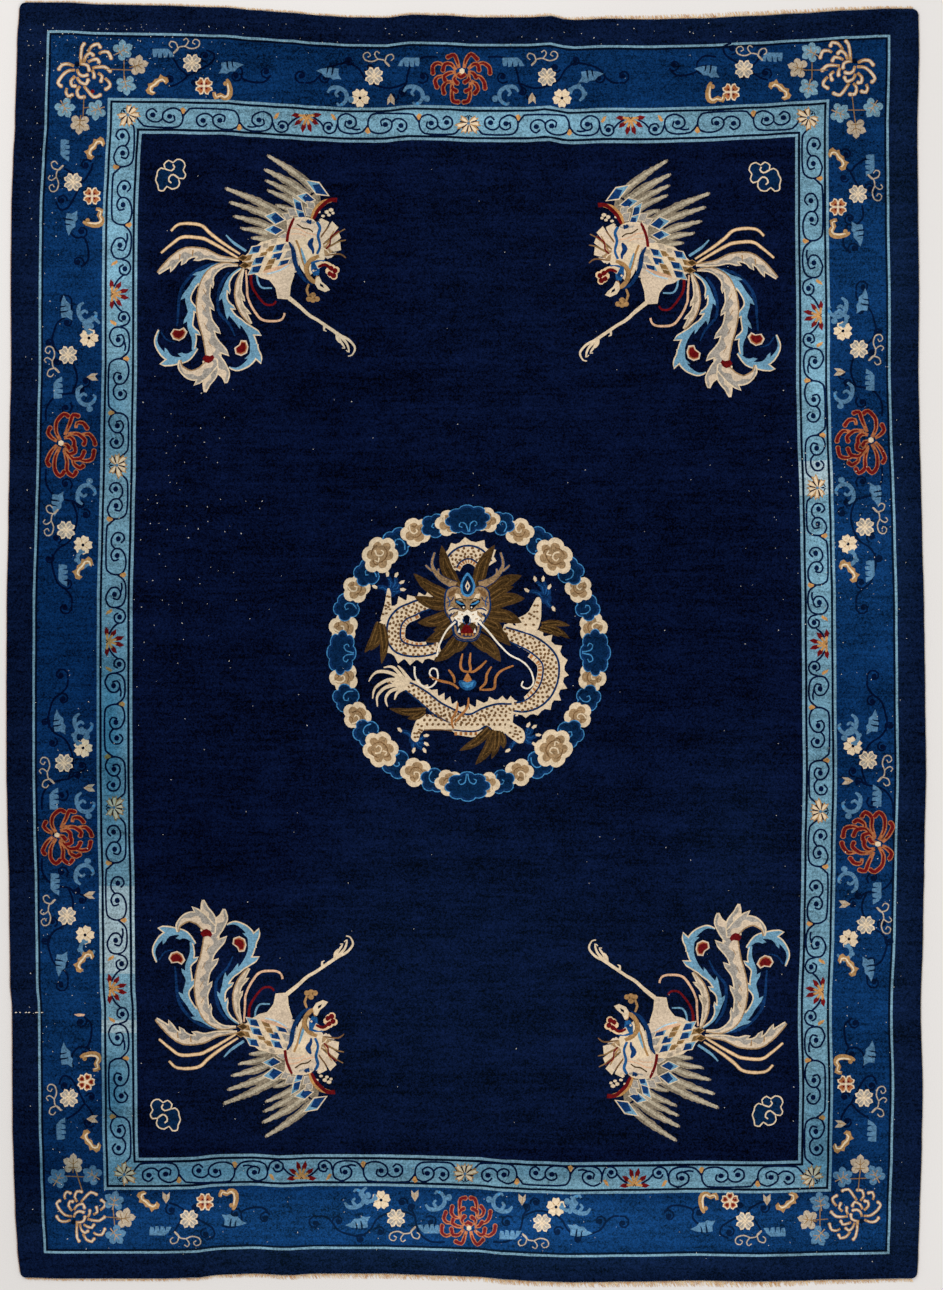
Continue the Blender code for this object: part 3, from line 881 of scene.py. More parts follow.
# %% Tail, legs and claws
for path in paths("-58,30 -78,20 -92,20 -99,29; -60,31 -74,15 -84,15; -62,30 -78,27 -92,35 -95,46; "
        "-62,32 -80,34 -90,43 -90,54; -60,34 -76,38 -82,46 -80,54; -60,34 -70,40 -73,47; -57,29 "
        "-66,17 -70,13"):
    D.stroke("ivory", path, (4.6, 3.4, 3, 1))

# The palm of each paw, and where its claws are
PAWS = (((-77, -61), pts("-80,-79 -71,-78 -65.4,-70.6 -64.4,-63 -93,-66")), ((78, -54), pts(
    "67.4,-74 75.6,-74 82,-66 86,-43.6 59,-62.6")), ((-53, 87), pts(
    "-68,77 -41,83 -41,91.6 -54,98 -43,98")), ((56, 85), pts("61,72 67,74 71,82.4 67,92 40,98")))
for palm, claws in PAWS:
    palm = np.array(palm, float)
    D.dot("royal", *palm, 6.4, 5.6, 8)
    for claw in np.array(claws, float):
        reach = claw - palm
        bend = palm + reach * 0.5 + np.array((-reach[1], reach[0])) * 0.10
        D.stroke("royal", (palm, bend, palm + reach * 0.86), (5.6, 4.6, 3.4))
        D.stroke("azure_dark", (palm + reach * 0.2, bend, palm + reach * 0.7), (0.9, 1, 0.6))
        tip = reach / math.hypot(*reach)
        turned = D.moved(*claw, math.degrees(math.atan2(tip[1], tip[0])) + 14)
        turned.fill("ivory", "-3.2,-0.8 0,-1.8 3,-0.4 1,1.5 -2.6,1.3")

# Outline of each upper leg
LEGS = paths("-80,-64 -77,-61 -76.4,-49 -76,-41 -82,-33 -87,-33 -83.4,-47; 69,-55 73.4,-53 73.6,-44 "
    "73,-32 67,-20 54,-22 47,-32 60,-40; -50,66 -44,70 -43,77 -47,81 -50,89 -54.6,88 -56.4,82; 40,68 "
    "48,72 56,78 57,87.4 52.4,91 44,86 38,80")
for outline in LEGS:
    D.fill("ivory", outline, curved=True)
    middle = np.mean(outline, axis=0)
    for k, corner in enumerate(outline):
        for share in ((0.62, 0.22) if k % 2 else (0.55,)):
            spot_at = np.array(corner) * share + middle * (1 - share)
            D.dot("brown_soft", *spot_at, 1.7, 1.3, 5)


def tuft(pen, spikes):
    """Brown hair in long leaf-shaped locks; each is a root, a tip and a width."""
    for (x, y), (u, v), width in spikes:
        bend = ((x + u) / 2 + (v - y) * 0.07, (y + v) / 2 - (u - x) * 0.07)
        path = ((x, y), bend, (u, v))
        pen.stroke("brown", path, (width * 0.9, width * 1.2, width * 0.95, 0.5))
        reach = math.dist((x, y), (u, v))
        for side, dye in ((-0.26, "brown_light"), (0, "brown_dark"), (0.26, "brown_light")):
            shift = width * side / reach
            lane = [(a + (v - y) * shift, b - (u - x) * shift) for a, b in path]
            lane[2] = ((u + bend[0]) / 2, (v + bend[1]) / 2)
            pen.stroke(dye, lane, (0.9, 0.9, 0.5))


tuft(D, (((-88, -30), (-103, 0), 8), ((-86, -26), (-97, -2), 8), ((-86, -28), (-86, 11), 8)))
tuft(D, (((74, -28), (102, -27), 6), ((76, -26), (102, -14), 6), ((72, -24), (92, -16), 5)))
tuft(D, (((-42, 58), (-78, 56), 7), ((-44, 60), (-60, 66), 6)))
tuft(D, (((22, 76), (-8, 98), 8), ((28, 78), (8, 112), 9), ((32, 80), (36, 96), 7),
    ((30, 78), (24, 106), 7)))

# %% Head of the dragon
tuft(D, (((-10, -64), (-26, -107), 11), ((9, -64), (27, -107.6), 11), ((-18, -56), (-54, -79), 10),
    ((20, -58), (54, -77), 12), ((-18, -48), (-53, -56), 11), ((22, -48), (57, -54), 12),
    ((-18, -38), (-50, -30), 11), ((20, -38), (54, -30), 12), ((-14, -28), (-42, -11), 11),
    ((14, -28), (43, -7), 11), ((-8, -16), (-33, 9), 11), ((8, -16), (33, 9), 12),
    ((-20, -54), (-44, -68), 7), ((22, -54), (46, -66), 8), ((-2, -16), (-14, 0), 9),
    ((4, -16), (18, 0), 9), ((-14, -32), (-34, -22), 8), ((16, -32), (36, -20), 9)))
for side in (-1, 1):
    half = Pen(D.at, (side, 0))
    prongs = paths("12,-67 24,-72.6 32,-80 35.6,-89 33,-100; 35,-82 38.6,-84 42,-87.6; 28,-76 "
        "29.4,-80 28.8,-84")
    for dye, extra in (("royal", 1.5), ("face", 0)):
        for path, widths in zip(prongs, ((8, 6, 4.4, 2.6, 1.8), (2.4, 1.4), (3, 1.4))):
            half.stroke(dye, path, [w + extra for w in widths])
# The face, broad above and narrow at the muzzle
FACE = pts("-12,-66 -20,-62 -22,-51 -21,-40 -16.6,-33 -14.6,-24 -12,-16 -6.6,-12.8 0,-12 7,-13 "
    "11.4,-18 13.2,-27 17.6,-34 21.6,-43 21.4,-54 19.4,-62 12,-66 0,-62")
D.fill("royal", [(x * 1.075, -44 + (y + 44) * 1.045) for x, y in FACE], curved=True)
D.fill("face", FACE, curved=True)
for k in range(46):
    a, reach = k * 2.4, 6 + 14 * (k % 4) / 3
    D.dot("tan_dark", reach * math.cos(a), -48 + 0.85 * reach * math.sin(a), 1.3, 1, 5)
for side in (-1, 1):
    half = Pen(D.at, (side, 0))
    # Temples and cheeks: brown above, ivory below, with curling blue lines
    half.fill("brown_soft", "10,-64 18,-61 20,-55 14,-57")
    half.fill("ivory", "9,-42 16,-46 20.4,-42 19,-38 14,-39")
    half.fill("ivory", "15,-36 18.6,-34.6 14.6,-27 11.6,-31")
    for path in paths("21,-50 16,-52 14,-56; 20,-38 16.6,-37 13,-40.4; 14,-24 15,-30 11.6,-34"):
        half.stroke("royal", path, (0.9, 1.2, 0.9))
# Chin: an outline shaped like a U, with the mouth inside it
CHIN = pts("-15,-28 -13.4,-18.4 -7.4,-13.4 0,-12.2 7.8,-13.8 12,-20 13,-28.4")
D.fill("royal", CHIN + pts("9,-34 -10,-34"), curved=True)
D.stroke("tan_soft", [(x * 0.84, -24 + (y + 24) * 0.80) for x, y in CHIN], 2)
D.fill("brown", "-9.4,-30 -8.6,-20 0,-16.6 8.6,-20 8.8,-30 0,-34")
# Pale muzzle like a burst of rays, the nose, tongue and teeth
D.fill("white","-14,-35 -9.6,-38 -9,-42 -3.6,-40.6 0,-43 3.6,-40.6 9.4,-42 9.6,-38 14,-34 9.6,-31 "
    "10.2,-26 6,-30 -5,-30 -9.6,-26 -9.6,-31")
for side in (-1, 1):
    half = Pen(D.at, (side, 0))
    for u, v in pts("8,-30 10.4,-34 6.4,-38.6"):
        half.stroke("tan", ((u, v), (u * 0.72, v * 0.98)), 1.2, curved=False)
D.fill("dark", "-4.6,-36 -0.6,-38 2.4,-35.6 1.6,-30 -1.4,-28.6 -4,-31")
D.stroke("azure_dark", "-5,-34 -3.8,-29.6 -1,-27.6 2.4,-29.8 2.8,-34", 0.9)
D.fill("red", "-1.4,-28.8 2.4,-26.4 6.4,-20.4 2,-18.6 -4,-18.6 -7.2,-20.4 -4.4,-26.2")
for x, tall in ((-8.6, 4.4), (7, 4.4)):
    D.fill("white", ((x - 1.4, -20.2), (x + 1.6, -19.8), (x + 0.4, -20 - tall)))
for x in (-5.4, -1.6, 2.2, 5.4):
    D.fill("orange", ((x - 1.3, -19.4), (x + 1.3, -19.4), (x + 1.1, -16.8), (x - 1.1, -16.8)))
for side in (-1, 1):
    half = Pen(D.at, (side, 0))
    # Cheek lines, brow, slanting eye and its pupil
    half.stroke("royal", "19,-41.6 15,-44 8,-43.6", (1.2, 1.8, 1))
    half.stroke("royal", "15,-29.6 18,-35 16,-39.6", (1, 1.6, 1.4))
    half.stroke("azure_dark", "20,-56 17.6,-50 19,-46", 1.1)
    half.fill("ivory", "5,-52.6 8.4,-58.6 12.6,-59 11.4,-53.6")
    half.fill("dark", "12.4,-52.8 12.6,-50.4 6.6,-45 5,-42.8 2.2,-43.4 1.8,-47 5,-51")
    half.stroke("azure", "11.4,-51.6 6,-48.6 3.2,-48.2", (1.6, 2, 0.9))
    D.dot("white", 3.9 * side, -45.2, 0.9)
    half.stroke("brown_dark", "2,-52.6 8,-54 13,-52.6", (0.8, 1.1))
# Pointed jewel on the forehead, with a plain lozenge in it
D.fill("azure", "0,-80 5.6,-73 7.6,-66 5.2,-58.6 0,-55.6 -5.6,-58.6 -7.4,-66 -5.4,-73", curved=True)
D.fill("royal_dark", "0,-77 4,-71.6 5.4,-66 3.6,-60.4 0,-58 -4,-60.4 -5.2,-66 -3.8,-71.6", curved=True)
D.fill("ivory", "0,-72 2.6,-66.4 0,-61 -2.6,-66.4")
D.fill("royal", "0,-69 1.2,-66.4 0,-63.8 -1.2,-66.4")
# Whiskers
for path in paths("9,-33 20,-22 30,-10 42,2 55,9 63,18 66,30 60,36 54,33 55.6,28.6; -12,-31 -21,-22 "
        "-28,-8 -31,4; -53,14 -52,25 -44,34 -36,34 -30,26 -31,17 -36,16 -38,21 -34,27"):
    D.stroke("white", path, (2, 1.7, 1.6, 1.5))

# %% Pearl and flames
D.fill("azure_dark", "-8,28 8,28 6.6,35 0,38 -6.6,35", curved=True)
D.fill("azure", "-6.6,28.6 -3,30 0,28.6 3,30 6.6,28.6 4.6,34 0,35.6 -4.6,34")
D.fill("orange", "-4.4,28 -2.6,24 0,20 2.6,24 4.4,28 0,30")
for path in paths("-5,1 -7,12 -5,18 0,19; 3,0 2,10 3,17 0,20; 19,8 13,14 6,19 2,19; 24,14 19,22 18,30 "
        "12,36; 46,13 34,18 28,25 26,36 12,37; -19,17 -14,24 -13,30; -38,24 -28,28 -16,31 -9,36; "
        "-10,50 -11,58 -16,68 -14,76; 1,45 0,54 -6,62 -13,70"):
    D.stroke("orange", path, (1.4, 2.4, 2.6, 1.8))
print(len(cartoon), "shapes with the dragon")

# %% [markdown]
# ## The four phoenixes
#
# One phoenix is drawn and then laid four times, mirrored across and down the field,
# as weavers do by reading the same cartoon from its other side. Its long tail feathers
# come from one function: a path, a width at each point, and where its teeth stand.

# %% Feathers
def toothed_edge(line, half, slope, run, side, teeth):
    """One edge of a feather; a tooth is its place from 0 to 1, its length and its height."""
    normal = np.stack((-slope[:, 1], slope[:, 0]), axis=1) * side
    marks = [(place * run[-1], long, high) for place, long, high in teeth]
    edge = []
    for i, distance in enumerate(run):
        ramps = [(distance - mark + long) / long for mark, long, _ in marks]
        swells = [high * t ** 1.5 for t, (_, _, high) in zip(ramps, marks) if 0 < t <= 1]
        edge.append(line[i] + normal[i] * (half[i] + sum(swells)))
        further = run[min(i + 1, len(run) - 1)]
        for mark, long, high in marks:
            if distance <= mark < further:
                edge.append(line[i] + normal[i] * (half[i] + high * 1.1) + slope[i] * (1.4 + long * 0.3))
                edge.append(line[i] + normal[i] * (half[i] - high * 0.2) + slope[i] * 1.2)
    return edge


def feather(pen, points, widths, dyes, teeth=(), back_teeth=(), rims=("ivory", None)):
    """A long feather: dyes are its body and the band along its toothed edge."""
    line, half, slope, run = along_path(points, [w / 2 for w in widths])
    front = toothed_edge(line, half, slope, run, -1, teeth)
    back = toothed_edge(line, half, slope, run, 1, back_teeth)
    body, band = dyes
    pen.fill(body, front + back[::-1])
    if band:
        lift = np.stack((slope[:, 1], -slope[:, 0]), axis=1)
        wave = 0.10 + 0.35 * np.sin(run * 0.42)
        inner = line + lift * (half * wave)[:, None]
        pen.fill(band, front + list(inner[::-1]))
    for dye, edge in zip(rims, (front, back)):
        if dye:
            pen.stroke(dye, edge, 1.35, curved=False)


def quill(pen, start, tip, width, bend=0.03):
    """One stiff wing feather with a ragged edge and a paler middle."""
    start, tip = np.array(start, float), np.array(tip, float)
    way = tip - start
    turn = np.array((-way[1], way[0]))
    middle = (start + tip) / 2 + turn * bend
    line, half, slope, _ = along_path((start, middle, tip), (width / 2, width / 2.1, 0.8))
    normal = np.stack((-slope[:, 1], slope[:, 0]), axis=1)
    ragged = 0.45 * np.sin(np.arange(len(line)) ** 1.3 * 2.3)[:, None]
    outer = line + normal * (half[:, None] + ragged)
    inner = line - normal * (half[:, None] - ragged * 0.8)
    pen.fill("quill", np.vstack((outer, inner[::-1])))
    pen.stroke("quill_pale", line[1:-2], width * 0.4, curved=False)


def scale_leaf(pen, x, y, turn, long, wide, light="sky_bird", heart="navy_bird", rim="ivory"):
    """A pointed scale with a pale rim; its light part shows beyond its dark heart."""
    leaf = pen.moved(x, y, turn)
    diamond = ((-long, 0.3), (-long * 0.1, -wide), (long, -0.6), (long * 0.2, wide))
    leaf.fill(rim, [(u * 1.16, v * 1.24) for u, v in diamond])
    leaf.fill(light, diamond)
    leaf.fill(heart, ((-long * 0.42, 0.3), (-0.04 * long, -wide * 0.94), (long * 0.97, -0.5),
        (long * 0.22, wide * 0.94)))


# %% Tail
def tail(pen):
    """Long tail feathers, with their eyes, and the thin plumes beside them."""
    for path, widths in ((pts("-18,1 -34,3 -48,10 -60,24 -64,38 -65,52 -66,64"), (1, 3, 3, 3, 1.6)), (
            pts("-58,28 -62,31 -57,37"), (1, 2, 1)), (pts("-14,10 -22,22 -25,36 -24,50 -14,62 -8,74"),
            (2, 3.2, 3, 2.6, 1.2)), (pts("-82,70 -76,78 -68,80"), (1.6, 1.6, 1))):
        pen.stroke("royal", path, widths)
    # The outer blue feather and its hook
    feather(pen, pts("-8,1 -24,2 -38,10 -49,22 -55,36 -52,50 -53,64 -49,76 -50,88"), (1, 2.4, 4, 6.6, 5.4,
        6, 5.6, 5.2, 2.4), ("sky_bird", None), ((0.38, 10, 3.4), (0.66, 12, 4), (0.86, 10, 3.6)), (
        (0.34, 9, 3.6), (0.54, 11, 3.8), (0.74, 11, 3.4)))
    feather(pen, pts("-46,86 -56,96 -68,98 -80,92 -87,80 -84,68"), (2, 5.8, 6.6, 4.8, 3, 1.2),
        ("sky_bird", None), ((0.50, 12, 6),), ((0.26, 10, 4), (0.58, 10, 3.4)))
    # The middle feather, ivory and grey, ends in three long leaves
    feather(pen, pts("-5,3 -20,3 -32,11 -38,24 -40,42 -38,58 -34,74 -30,90 -29,104"), (1.2, 5, 8.6, 11.6,
        13.4, 13.4, 12.4, 15, 14), ("cream", "grey"), ((0.32, 10, 3), (0.52, 12, 4), (0.72, 14, 5),
        (0.90, 16, 7)), rims=("ivory", "tan_soft"))
    feather(pen, pts("-30,96 -24,104 -18,112 -17,121"), (14, 14, 9.4, 1), ("cream", "grey"), (),
        rims=("ivory", "ivory"))
    feather(pen, pts("-33,98 -32,110 -36,120 -38,130"), (14, 14, 9.6, 1), ("cream", "grey"), (),
        rims=("ivory", "ivory"))
    feather(pen, pts("-30,100 -40,110 -52,113 -62,106 -63,98"), (12, 12, 10, 6.4, 1.4), ("cream", "grey"),
        ((0.46, 14, 4),), rims=("ivory", "tan_soft"))
    for x, y in pts("-38,30 -39,46 -37,64 -33,82"):
        pen.stroke("tan", ((x - 2, y - 3), (x + 1.6, y + 3.4)), (0.6, 2.2, 0.6), curved=False)
    # The inner blue feather
    feather(pen, pts("-2,6 -12,14 -18,28 -17,42 -10,54 0,62 8,74 12,88"), (1.4, 3, 4.6, 5.2, 5.2, 5, 6,
        6.8), ("sky_bird", None), ((0.28, 9, 3), (0.48, 10, 3.6), (0.84, 14, 6)), ((0.36, 9, 3.2),
        (0.54, 10, 3.6), (0.68, 9, 3)))
    feather(pen, pts("11,82 10,94 4,102 -6,107 -14,105"), (8, 7.6, 6, 3.6, 1), ("sky_bird", None),
        ((0.30, 10, 6),), ((0.40, 8, 2.4),))
    # A short ivory feather, and the two upper plumes
    feather(pen, pts("0,7 -4,20 -5,34 -1,48 8,62"), (1.6, 5.4, 6.4, 6, 1.6), ("cream", "grey_tan"),
        ((0.50, 10, 2.6), (0.80, 10, 3)), rims=("ivory", "tan_soft"))
    for x, y in pts("-64,72 -34,97 -1,86"):
        eye = pen.moved(x, y, 24 if x < -10 else -20)
        if x != -34:
            eye.fill("cream", "-8.2,3.4 -7.2,-2.6 -1.4,-4.4 1.6,-8 6.8,-5.6 6.6,1.2 3,6.4 -3.4,7.2")
            eye.fill("rust", "-6.8,2.8 -6,-2 -0.8,-3.4 1.8,-6.6 5.4,-4.4 5.4,0.8 2.2,5.2 -3,5.8")
        eye.fill("red", "-6.2,2.2 -5.2,-2 -0.4,-3.2 1.6,-5.4 4.4,-3.6 4,0.8 1.6,4 -2.8,4.4")
    pen.stroke("pink", "3,8 4,24 5,36 12,50 20,58 34,59 40,56 41.6,51", (1.6, 2.2, 2.3, 2.3, 2))
    pen.stroke("red", "8,9 8.4,22 14,33 22,42 30,42.6 33,39", (2.6, 2.6, 2.2, 2.2, 1.6))
    pen.stroke("sky_bird", "14,13 15,20 19,25.6 29,26", (2, 1.8, 1.4))
    pen.stroke("sky_bird", "3,-11 -9,-19 -17,-27", (2.4, 2.8, 1.2))
    for path in paths("-3,-8 -20,-19 -32,-28 -43,-37 -63,-38 -72,-31; -5,-4 -18,-12 -34,-21 -42,-24 "
            "-60,-25 -70,-19 -82,-9"):
        pen.stroke("tan_soft", path, (2.2, 3.6, 3.4, 2.6))
        pen.stroke("cream_line", path, (1.4, 2.4, 2.4, 1.6))
    feather(pen, pts("-4,-2 -24,-4 -40,-9 -58,-9 -72,0 -85,11"), (1.6, 4.6, 9, 10, 8.2, 2),
        ("cream", "grey"), ((0.46, 12, 3.4), (0.66, 13, 4.4), (0.84, 11, 3.4)),
        rims=("ivory", "tan_soft"))
    for x, y in ((-50, -12), (-63, -8)):
        pen.stroke("tan", ((x, y), (x - 0.6, y + 6)), (1.6, 0.8), curved=False)


# %% Wings, body and leg
def wings(pen):
    upper = (((72, -72), (24, -107), 8), ((66, -66), (21, -93), 8.6), ((62, -60), (22, -82), 7.4),
        ((60, -54), (24, -72), 7), ((56, -48), (32, -57), 6.4))
    lower = (((44, -44), (-18, -74), 8.6), ((38, -40), (-14, -60), 8.2), ((34, -32), (-10, -46), 7.8),
        ((32, -26), (-3, -34), 7), ((32, -20), (8, -24), 6.6))
    for start, tip, width in lower + upper:
        quill(pen, start, tip, width)
    pen.fill("quill", "32,-46 44,-50 58,-54 68,-66 76,-72 78,-60 58,-46 46,-30 30,-20 24,-28")
    for x, y, turn, long, wide in ((32, -44, 14, 9.6, 5.6), (31, -32, 4, 9, 4.4), (74, -74, 36, 13, 5),
            (63, -64, 16, 9, 4.8), (55, -57, 58, 8.8, 3.8), (58, -47, 50, 7.4, 3.8)):
        scale_leaf(pen, x, y, turn, long, wide)
    for x, y, turn in ((45, -45, 30), (68, -56, 50), (49, -50, 40), (66, -50, 50), (42, -25, 10)):
        scale_leaf(pen, x, y, turn, 6, 4, "grey", "grey")


BODY_SCALES = (
    # x, y, and what it is: blue, tan, grey or cream
    (12, -12, "b"), (27, -13, "t"), (36, -14, "b"), (20, -7, "t"), (33, -5, "b"), (47, -8, "g"),
    (15, -1, "b"), (28, 0, "t"), (40, 2, "b"), (51, -1, "g"), (12, 8, "b"), (25, 6, "t"),
    (38, 9, "c"), (22, -16, "c"), (44, -15, "c"), (5, -4, "t"), (5, 3, "t"), (49, 7, "g"),
    (30, -20, "c"),
)


def bird_body(pen):
    """Body scales, thigh and leg."""
    pen.fill("ivory", "1,-5 8,-12 18,-20 34,-24 46,-24 54,-10 53,5 40,13 16,14 4,6")
    dyes = {"b": ("sky_bird", "navy_bird"), "t": ("tan", "tan_dark"), "g": ("grey", "grey"),
        "c": ("cream", "grey_tan")}
    for x, y, kind in BODY_SCALES:
        long, wide = (8.2, 4) if kind in "bg" else (6, 3)
        scale_leaf(pen, x, y, -32, long, wide, *dyes[kind])
    pen.fill("cream", "12,12 26,10 40,4 53,0 51,12 47,24 46,37 35,36 33,26 26,18 18,16")
    pen.stroke("ivory", "12,12 26,16 33,26 35,36 46,37 47,24 51,12", 1.3, curved=False)
    pen.stroke("pink", "20,10 32,7 46,2", (1.4, 4, 1.6))
    pen.stroke("azure_pale", "24,12 35,9 46,3", (1, 1.8, 1))
    for x, y in ((0, -4), (2, 3.4)):
        leaf = pen.moved(x, y, -4)
        leaf.fill("tan", "-6,0 0,-3.6 6,-0.4 0,3.4")
        leaf.fill("brown", "-4.6,0 0,-2.8 4.6,-0.2 0,2.6")
    pen.stroke("ivory", "46,36 56,44 66,53 76,59 92,70 102,77", (4.4, 3.4, 3, 3.2, 3.6))
    for path in paths("82,62 81,68 83.6,69.4; 98,74 106,78 112,86 109,93 105,94; 97,74 104,82 106,90 "
            "103,88; 94,72 98,80 102,86 99,86; 94,70 94,77 97,81"):
        pen.stroke("ivory", path, (2.8, 2.3, 1))


# %% Breast, neck and head
def bird_head(pen):
    """A tight knot of curling strips: breast, neck, crest, face and beard."""
    # Crest: pale leaves that fan out from the neck, with dark lines between them
    fan = paths("72,-22 78,-44 86,-40; 74,-20 88,-42 96,-34; 74,-16 94,-34 98,-24; 74,-14 97,-22 "
        "98,-12; 72,-10 96,-12 88,-4")
    for root, out, back in fan:
        pen.fill("ivory", (root, out, back, (74, -6)), curved=False)
        pen.fill("cream", ((root[0] + 3, root[1]), (out[0] - 3, out[1] + 3), (back[0] - 3, back[1] + 1),
            (77, -8)))
    for path in paths("90,-44 84,-34 78,-26; 98,-36 90,-27 82,-20; 101,-24 92,-19 84,-15; 101,-11 "
            "92,-10 84,-9"):
        pen.stroke("midnight_field", path, (2.2, 1.2, 0.8))
    for path, dye in ((pts("74,-20 80,-28 86,-36"), "brown_soft"), (pts("75,-14 86,-22 95,-29 102,-33"),
            "tan_dark"), (pts("74,-10 84,-14 95,-20 103,-22"), "tan_dark"), (
            pts("74,-7 86,-7 97,-8 103,-4"), "brown_soft"), (pts("78,-12 84,-17 88,-26 91,-31"), "tan"), (
            pts("72,-6 82,-10 90,-11"), "face")):
        pen.stroke(dye, path, (1.6, 1.7, 1.1))
    pen.fill("tan_soft", "76,-18 84,-16 90,-10 82,-6 76,-8")
    pen.stroke("ivory", "80,-14 84,-12 86,-9", 1.4)
    pen.stroke("red", "83,-13 87,-18 88,-25 96,-31", (1.8, 1.6, 1.8, 1))
    # Breast: pale, with thin lines, between the wings and the neck
    pen.fill("cream", "44,-42 54,-45 68,-44 76,-36 78,-22 74,-8 62,-12 50,-18 44,-26")
    pen.stroke("ivory", "46,-42 56,-44 68,-43 76,-35", 1.5)
    for path, dye, width in ((pts("54,-38 60,-34 66,-33 70,-30"), "brown", 1.4), (
            pts("46,-34 56,-33 64,-29 74,-27"), "pink", 1.3), (pts("48,-28 58,-28 66,-24"), "pink", 1.1),
            (pts("58,-41 66,-39 72,-40"), "grey", 1.8)):
        pen.stroke(dye, path, width)
    # Neck: strips that run down to the beard
    pen.fill("ivory", "50,-22 66,-26 80,-18 82,-4 76,6 66,14 58,4")
    for dye, path, widths in (("royal", pts("46,-20 50,-12 52,0 56,10 62,18 70,22"),
            (2, 4.6, 4.6, 3.6, 2)), ("ivory", pts("51,-18 55,-8 58,4 62,11"), (1.8, 2.2, 1.6)), ("tan",
            pts("53,-22 57,-12 60,0 63,6"), (2, 2.2, 1.8)), ("sky_bird", pts("58,-14 61,-4 64,6"),
            (1.2, 2.8, 2.2)), ("navy_bird", pts("70,-24 67,-18 70,-12 70,-8"), (2, 6, 3.6, 1.6)), (
            "azure_dark", pts("74,-40 77,-34 75,-26 77,-16 74,-8"), (3, 3.2, 2.6, 2.6)), ("royal",
            pts("64,-42 67,-39 68,-42"), (3, 4, 2))):
        pen.stroke(dye, path, widths)
    # Face, beak, wattle and beard
    pen.stroke("tan", "76,-6 68,-2 63,6 66,15 72,20 75,14", (3.4, 4.4, 4.4, 4.6, 3.2))
    pen.stroke("tan_dark", "73,-3 67,2 65.4,8 68,15", (0.9, 1.2, 0.9))
    pen.fill("azure_dark", "68,0 74,-2 82,-2 84,2 77,5 76,13 71,14 68,8")
    pen.fill("ivory", "72,1 78,-1 86,1 80,4 75,7")
    pen.dot("navy_bird", 72, 8, 2.6, 2)
    pen.dot("ivory", 70.4, 8.6, 1.2)
    pen.fill("ivory", "73,16 76,14 79,20 84,24 87,28 82,30 75,27 72,22")
    pen.fill("dark", "77,21 80,23 81,26 77,24")
    pen.stroke("cream_line", "75,5 82,1 88,4 93,8", (3.2, 4, 3.8))
    for x, y in pts("89,6 93,8 88,12 91,14 86,9"):
        pen.dot("cream_line", x, y, 3.8)
    pen.stroke("red", "75,5 82,2.4 87,6", (2.4, 3, 3))
    for x, y in pts("88,6.4 92,8.6 87,11.6 90.6,13.6"):
        pen.dot("red", x, y, 2.8)
    pen.stroke("pink", "84,6.6 88,9.4 90,11", 0.8, curved=False)
    pen.stroke("tan", "66,22 63.8,28 66,34", (1.8, 2.6, 2))
    for x, y in pts("66,37 70,33 74,37 70,38"):
        pen.dot("tan", x, y, 3.1, 2.7)
    for x, y in ((67.6, 34.4), (71.6, 36.6)):
        pen.dot("brown_soft", x, y, 1.1)
    # White sprigs before the wing
    for x, y, size in ((80, -46, 2), (84, -50, 2.6), (88, -52, 2.6), (86, -47, 2), (76, -50, 1.6),
            (78, -42, 1.8), (90, -49, 1.8)):
        pen.dot("ivory", x, y, size, size * 0.8, 6)
    for x, y in ((86.4, -50), (81, -48)):
        pen.dot("dark", x, y, 1)
    # Red bands that bind the wings
    pen.stroke("rust_light", "90,-62 82,-60 73,-52 69,-43", (3, 6, 5.6, 3.6))
    pen.stroke("red", "94,-62 86,-61.6 76,-53 70.4,-43", (4.4, 3.6, 3.6, 2.6))
    pen.stroke("red", "51,-44 47.4,-36 45,-28 44,-20", (2.4, 3, 2.8, 3.2))


def phoenix(pen):
    wings(pen)
    tail(pen)
    bird_body(pen)
    bird_head(pen)


for middle, along, across in paths("243,262 1,0 0,1; 692,267 -1,0 0,1; 241,1030 1,0 0,-1; 701,1034 "
        "-1,0 0,-1"):
    phoenix(Pen(middle, along, across))
print(len(cartoon), "shapes with the phoenixes")

# %% [markdown]
# ## From the cartoon to a mesh
#
# The outlines of all shapes go into one constrained Delaunay triangulation, which
# keeps every drawn line as an edge and cuts lines where they cross. Each triangle then
# takes the dye of the topmost shape over its middle. A second pass keeps only the
# edges between two dyes, so that hidden parts cost nothing, and adds a coarse grid of
# points that lets the cloth rise and fall a little.

# %% Triangles and their dyes
# Points go to the nearest quarter of a square, so that shapes that touch share them
GRAIN = 0.25


def join_loops(loops, points=(), edges=()):
    """Points and edges of closed loops, with points that fall together made one."""
    rows = [tuple(point) for point in points]
    place = {row: i for i, row in enumerate(rows)}
    pairs = {tuple(sorted(edge)) for edge in edges}
    for loop in loops:
        ids = []
        for row in (np.round(np.asarray(loop) / GRAIN) * GRAIN).tolist():
            row = tuple(row)
            if row not in place:
                place[row] = len(rows)
                rows.append(row)
            ids.append(place[row])
        pairs |= {tuple(sorted(pair)) for pair in zip(ids, ids[1:] + ids[:1])
                  if pair[0] != pair[1]}
    return rows, sorted(pairs)


def triangulate(points, edges):
    found = delaunay_2d_cdt([Vector(point) for point in points], edges, [], 0, 0.02, False)
    return np.array([tuple(point) for point in found[0]]), np.array(found[2])


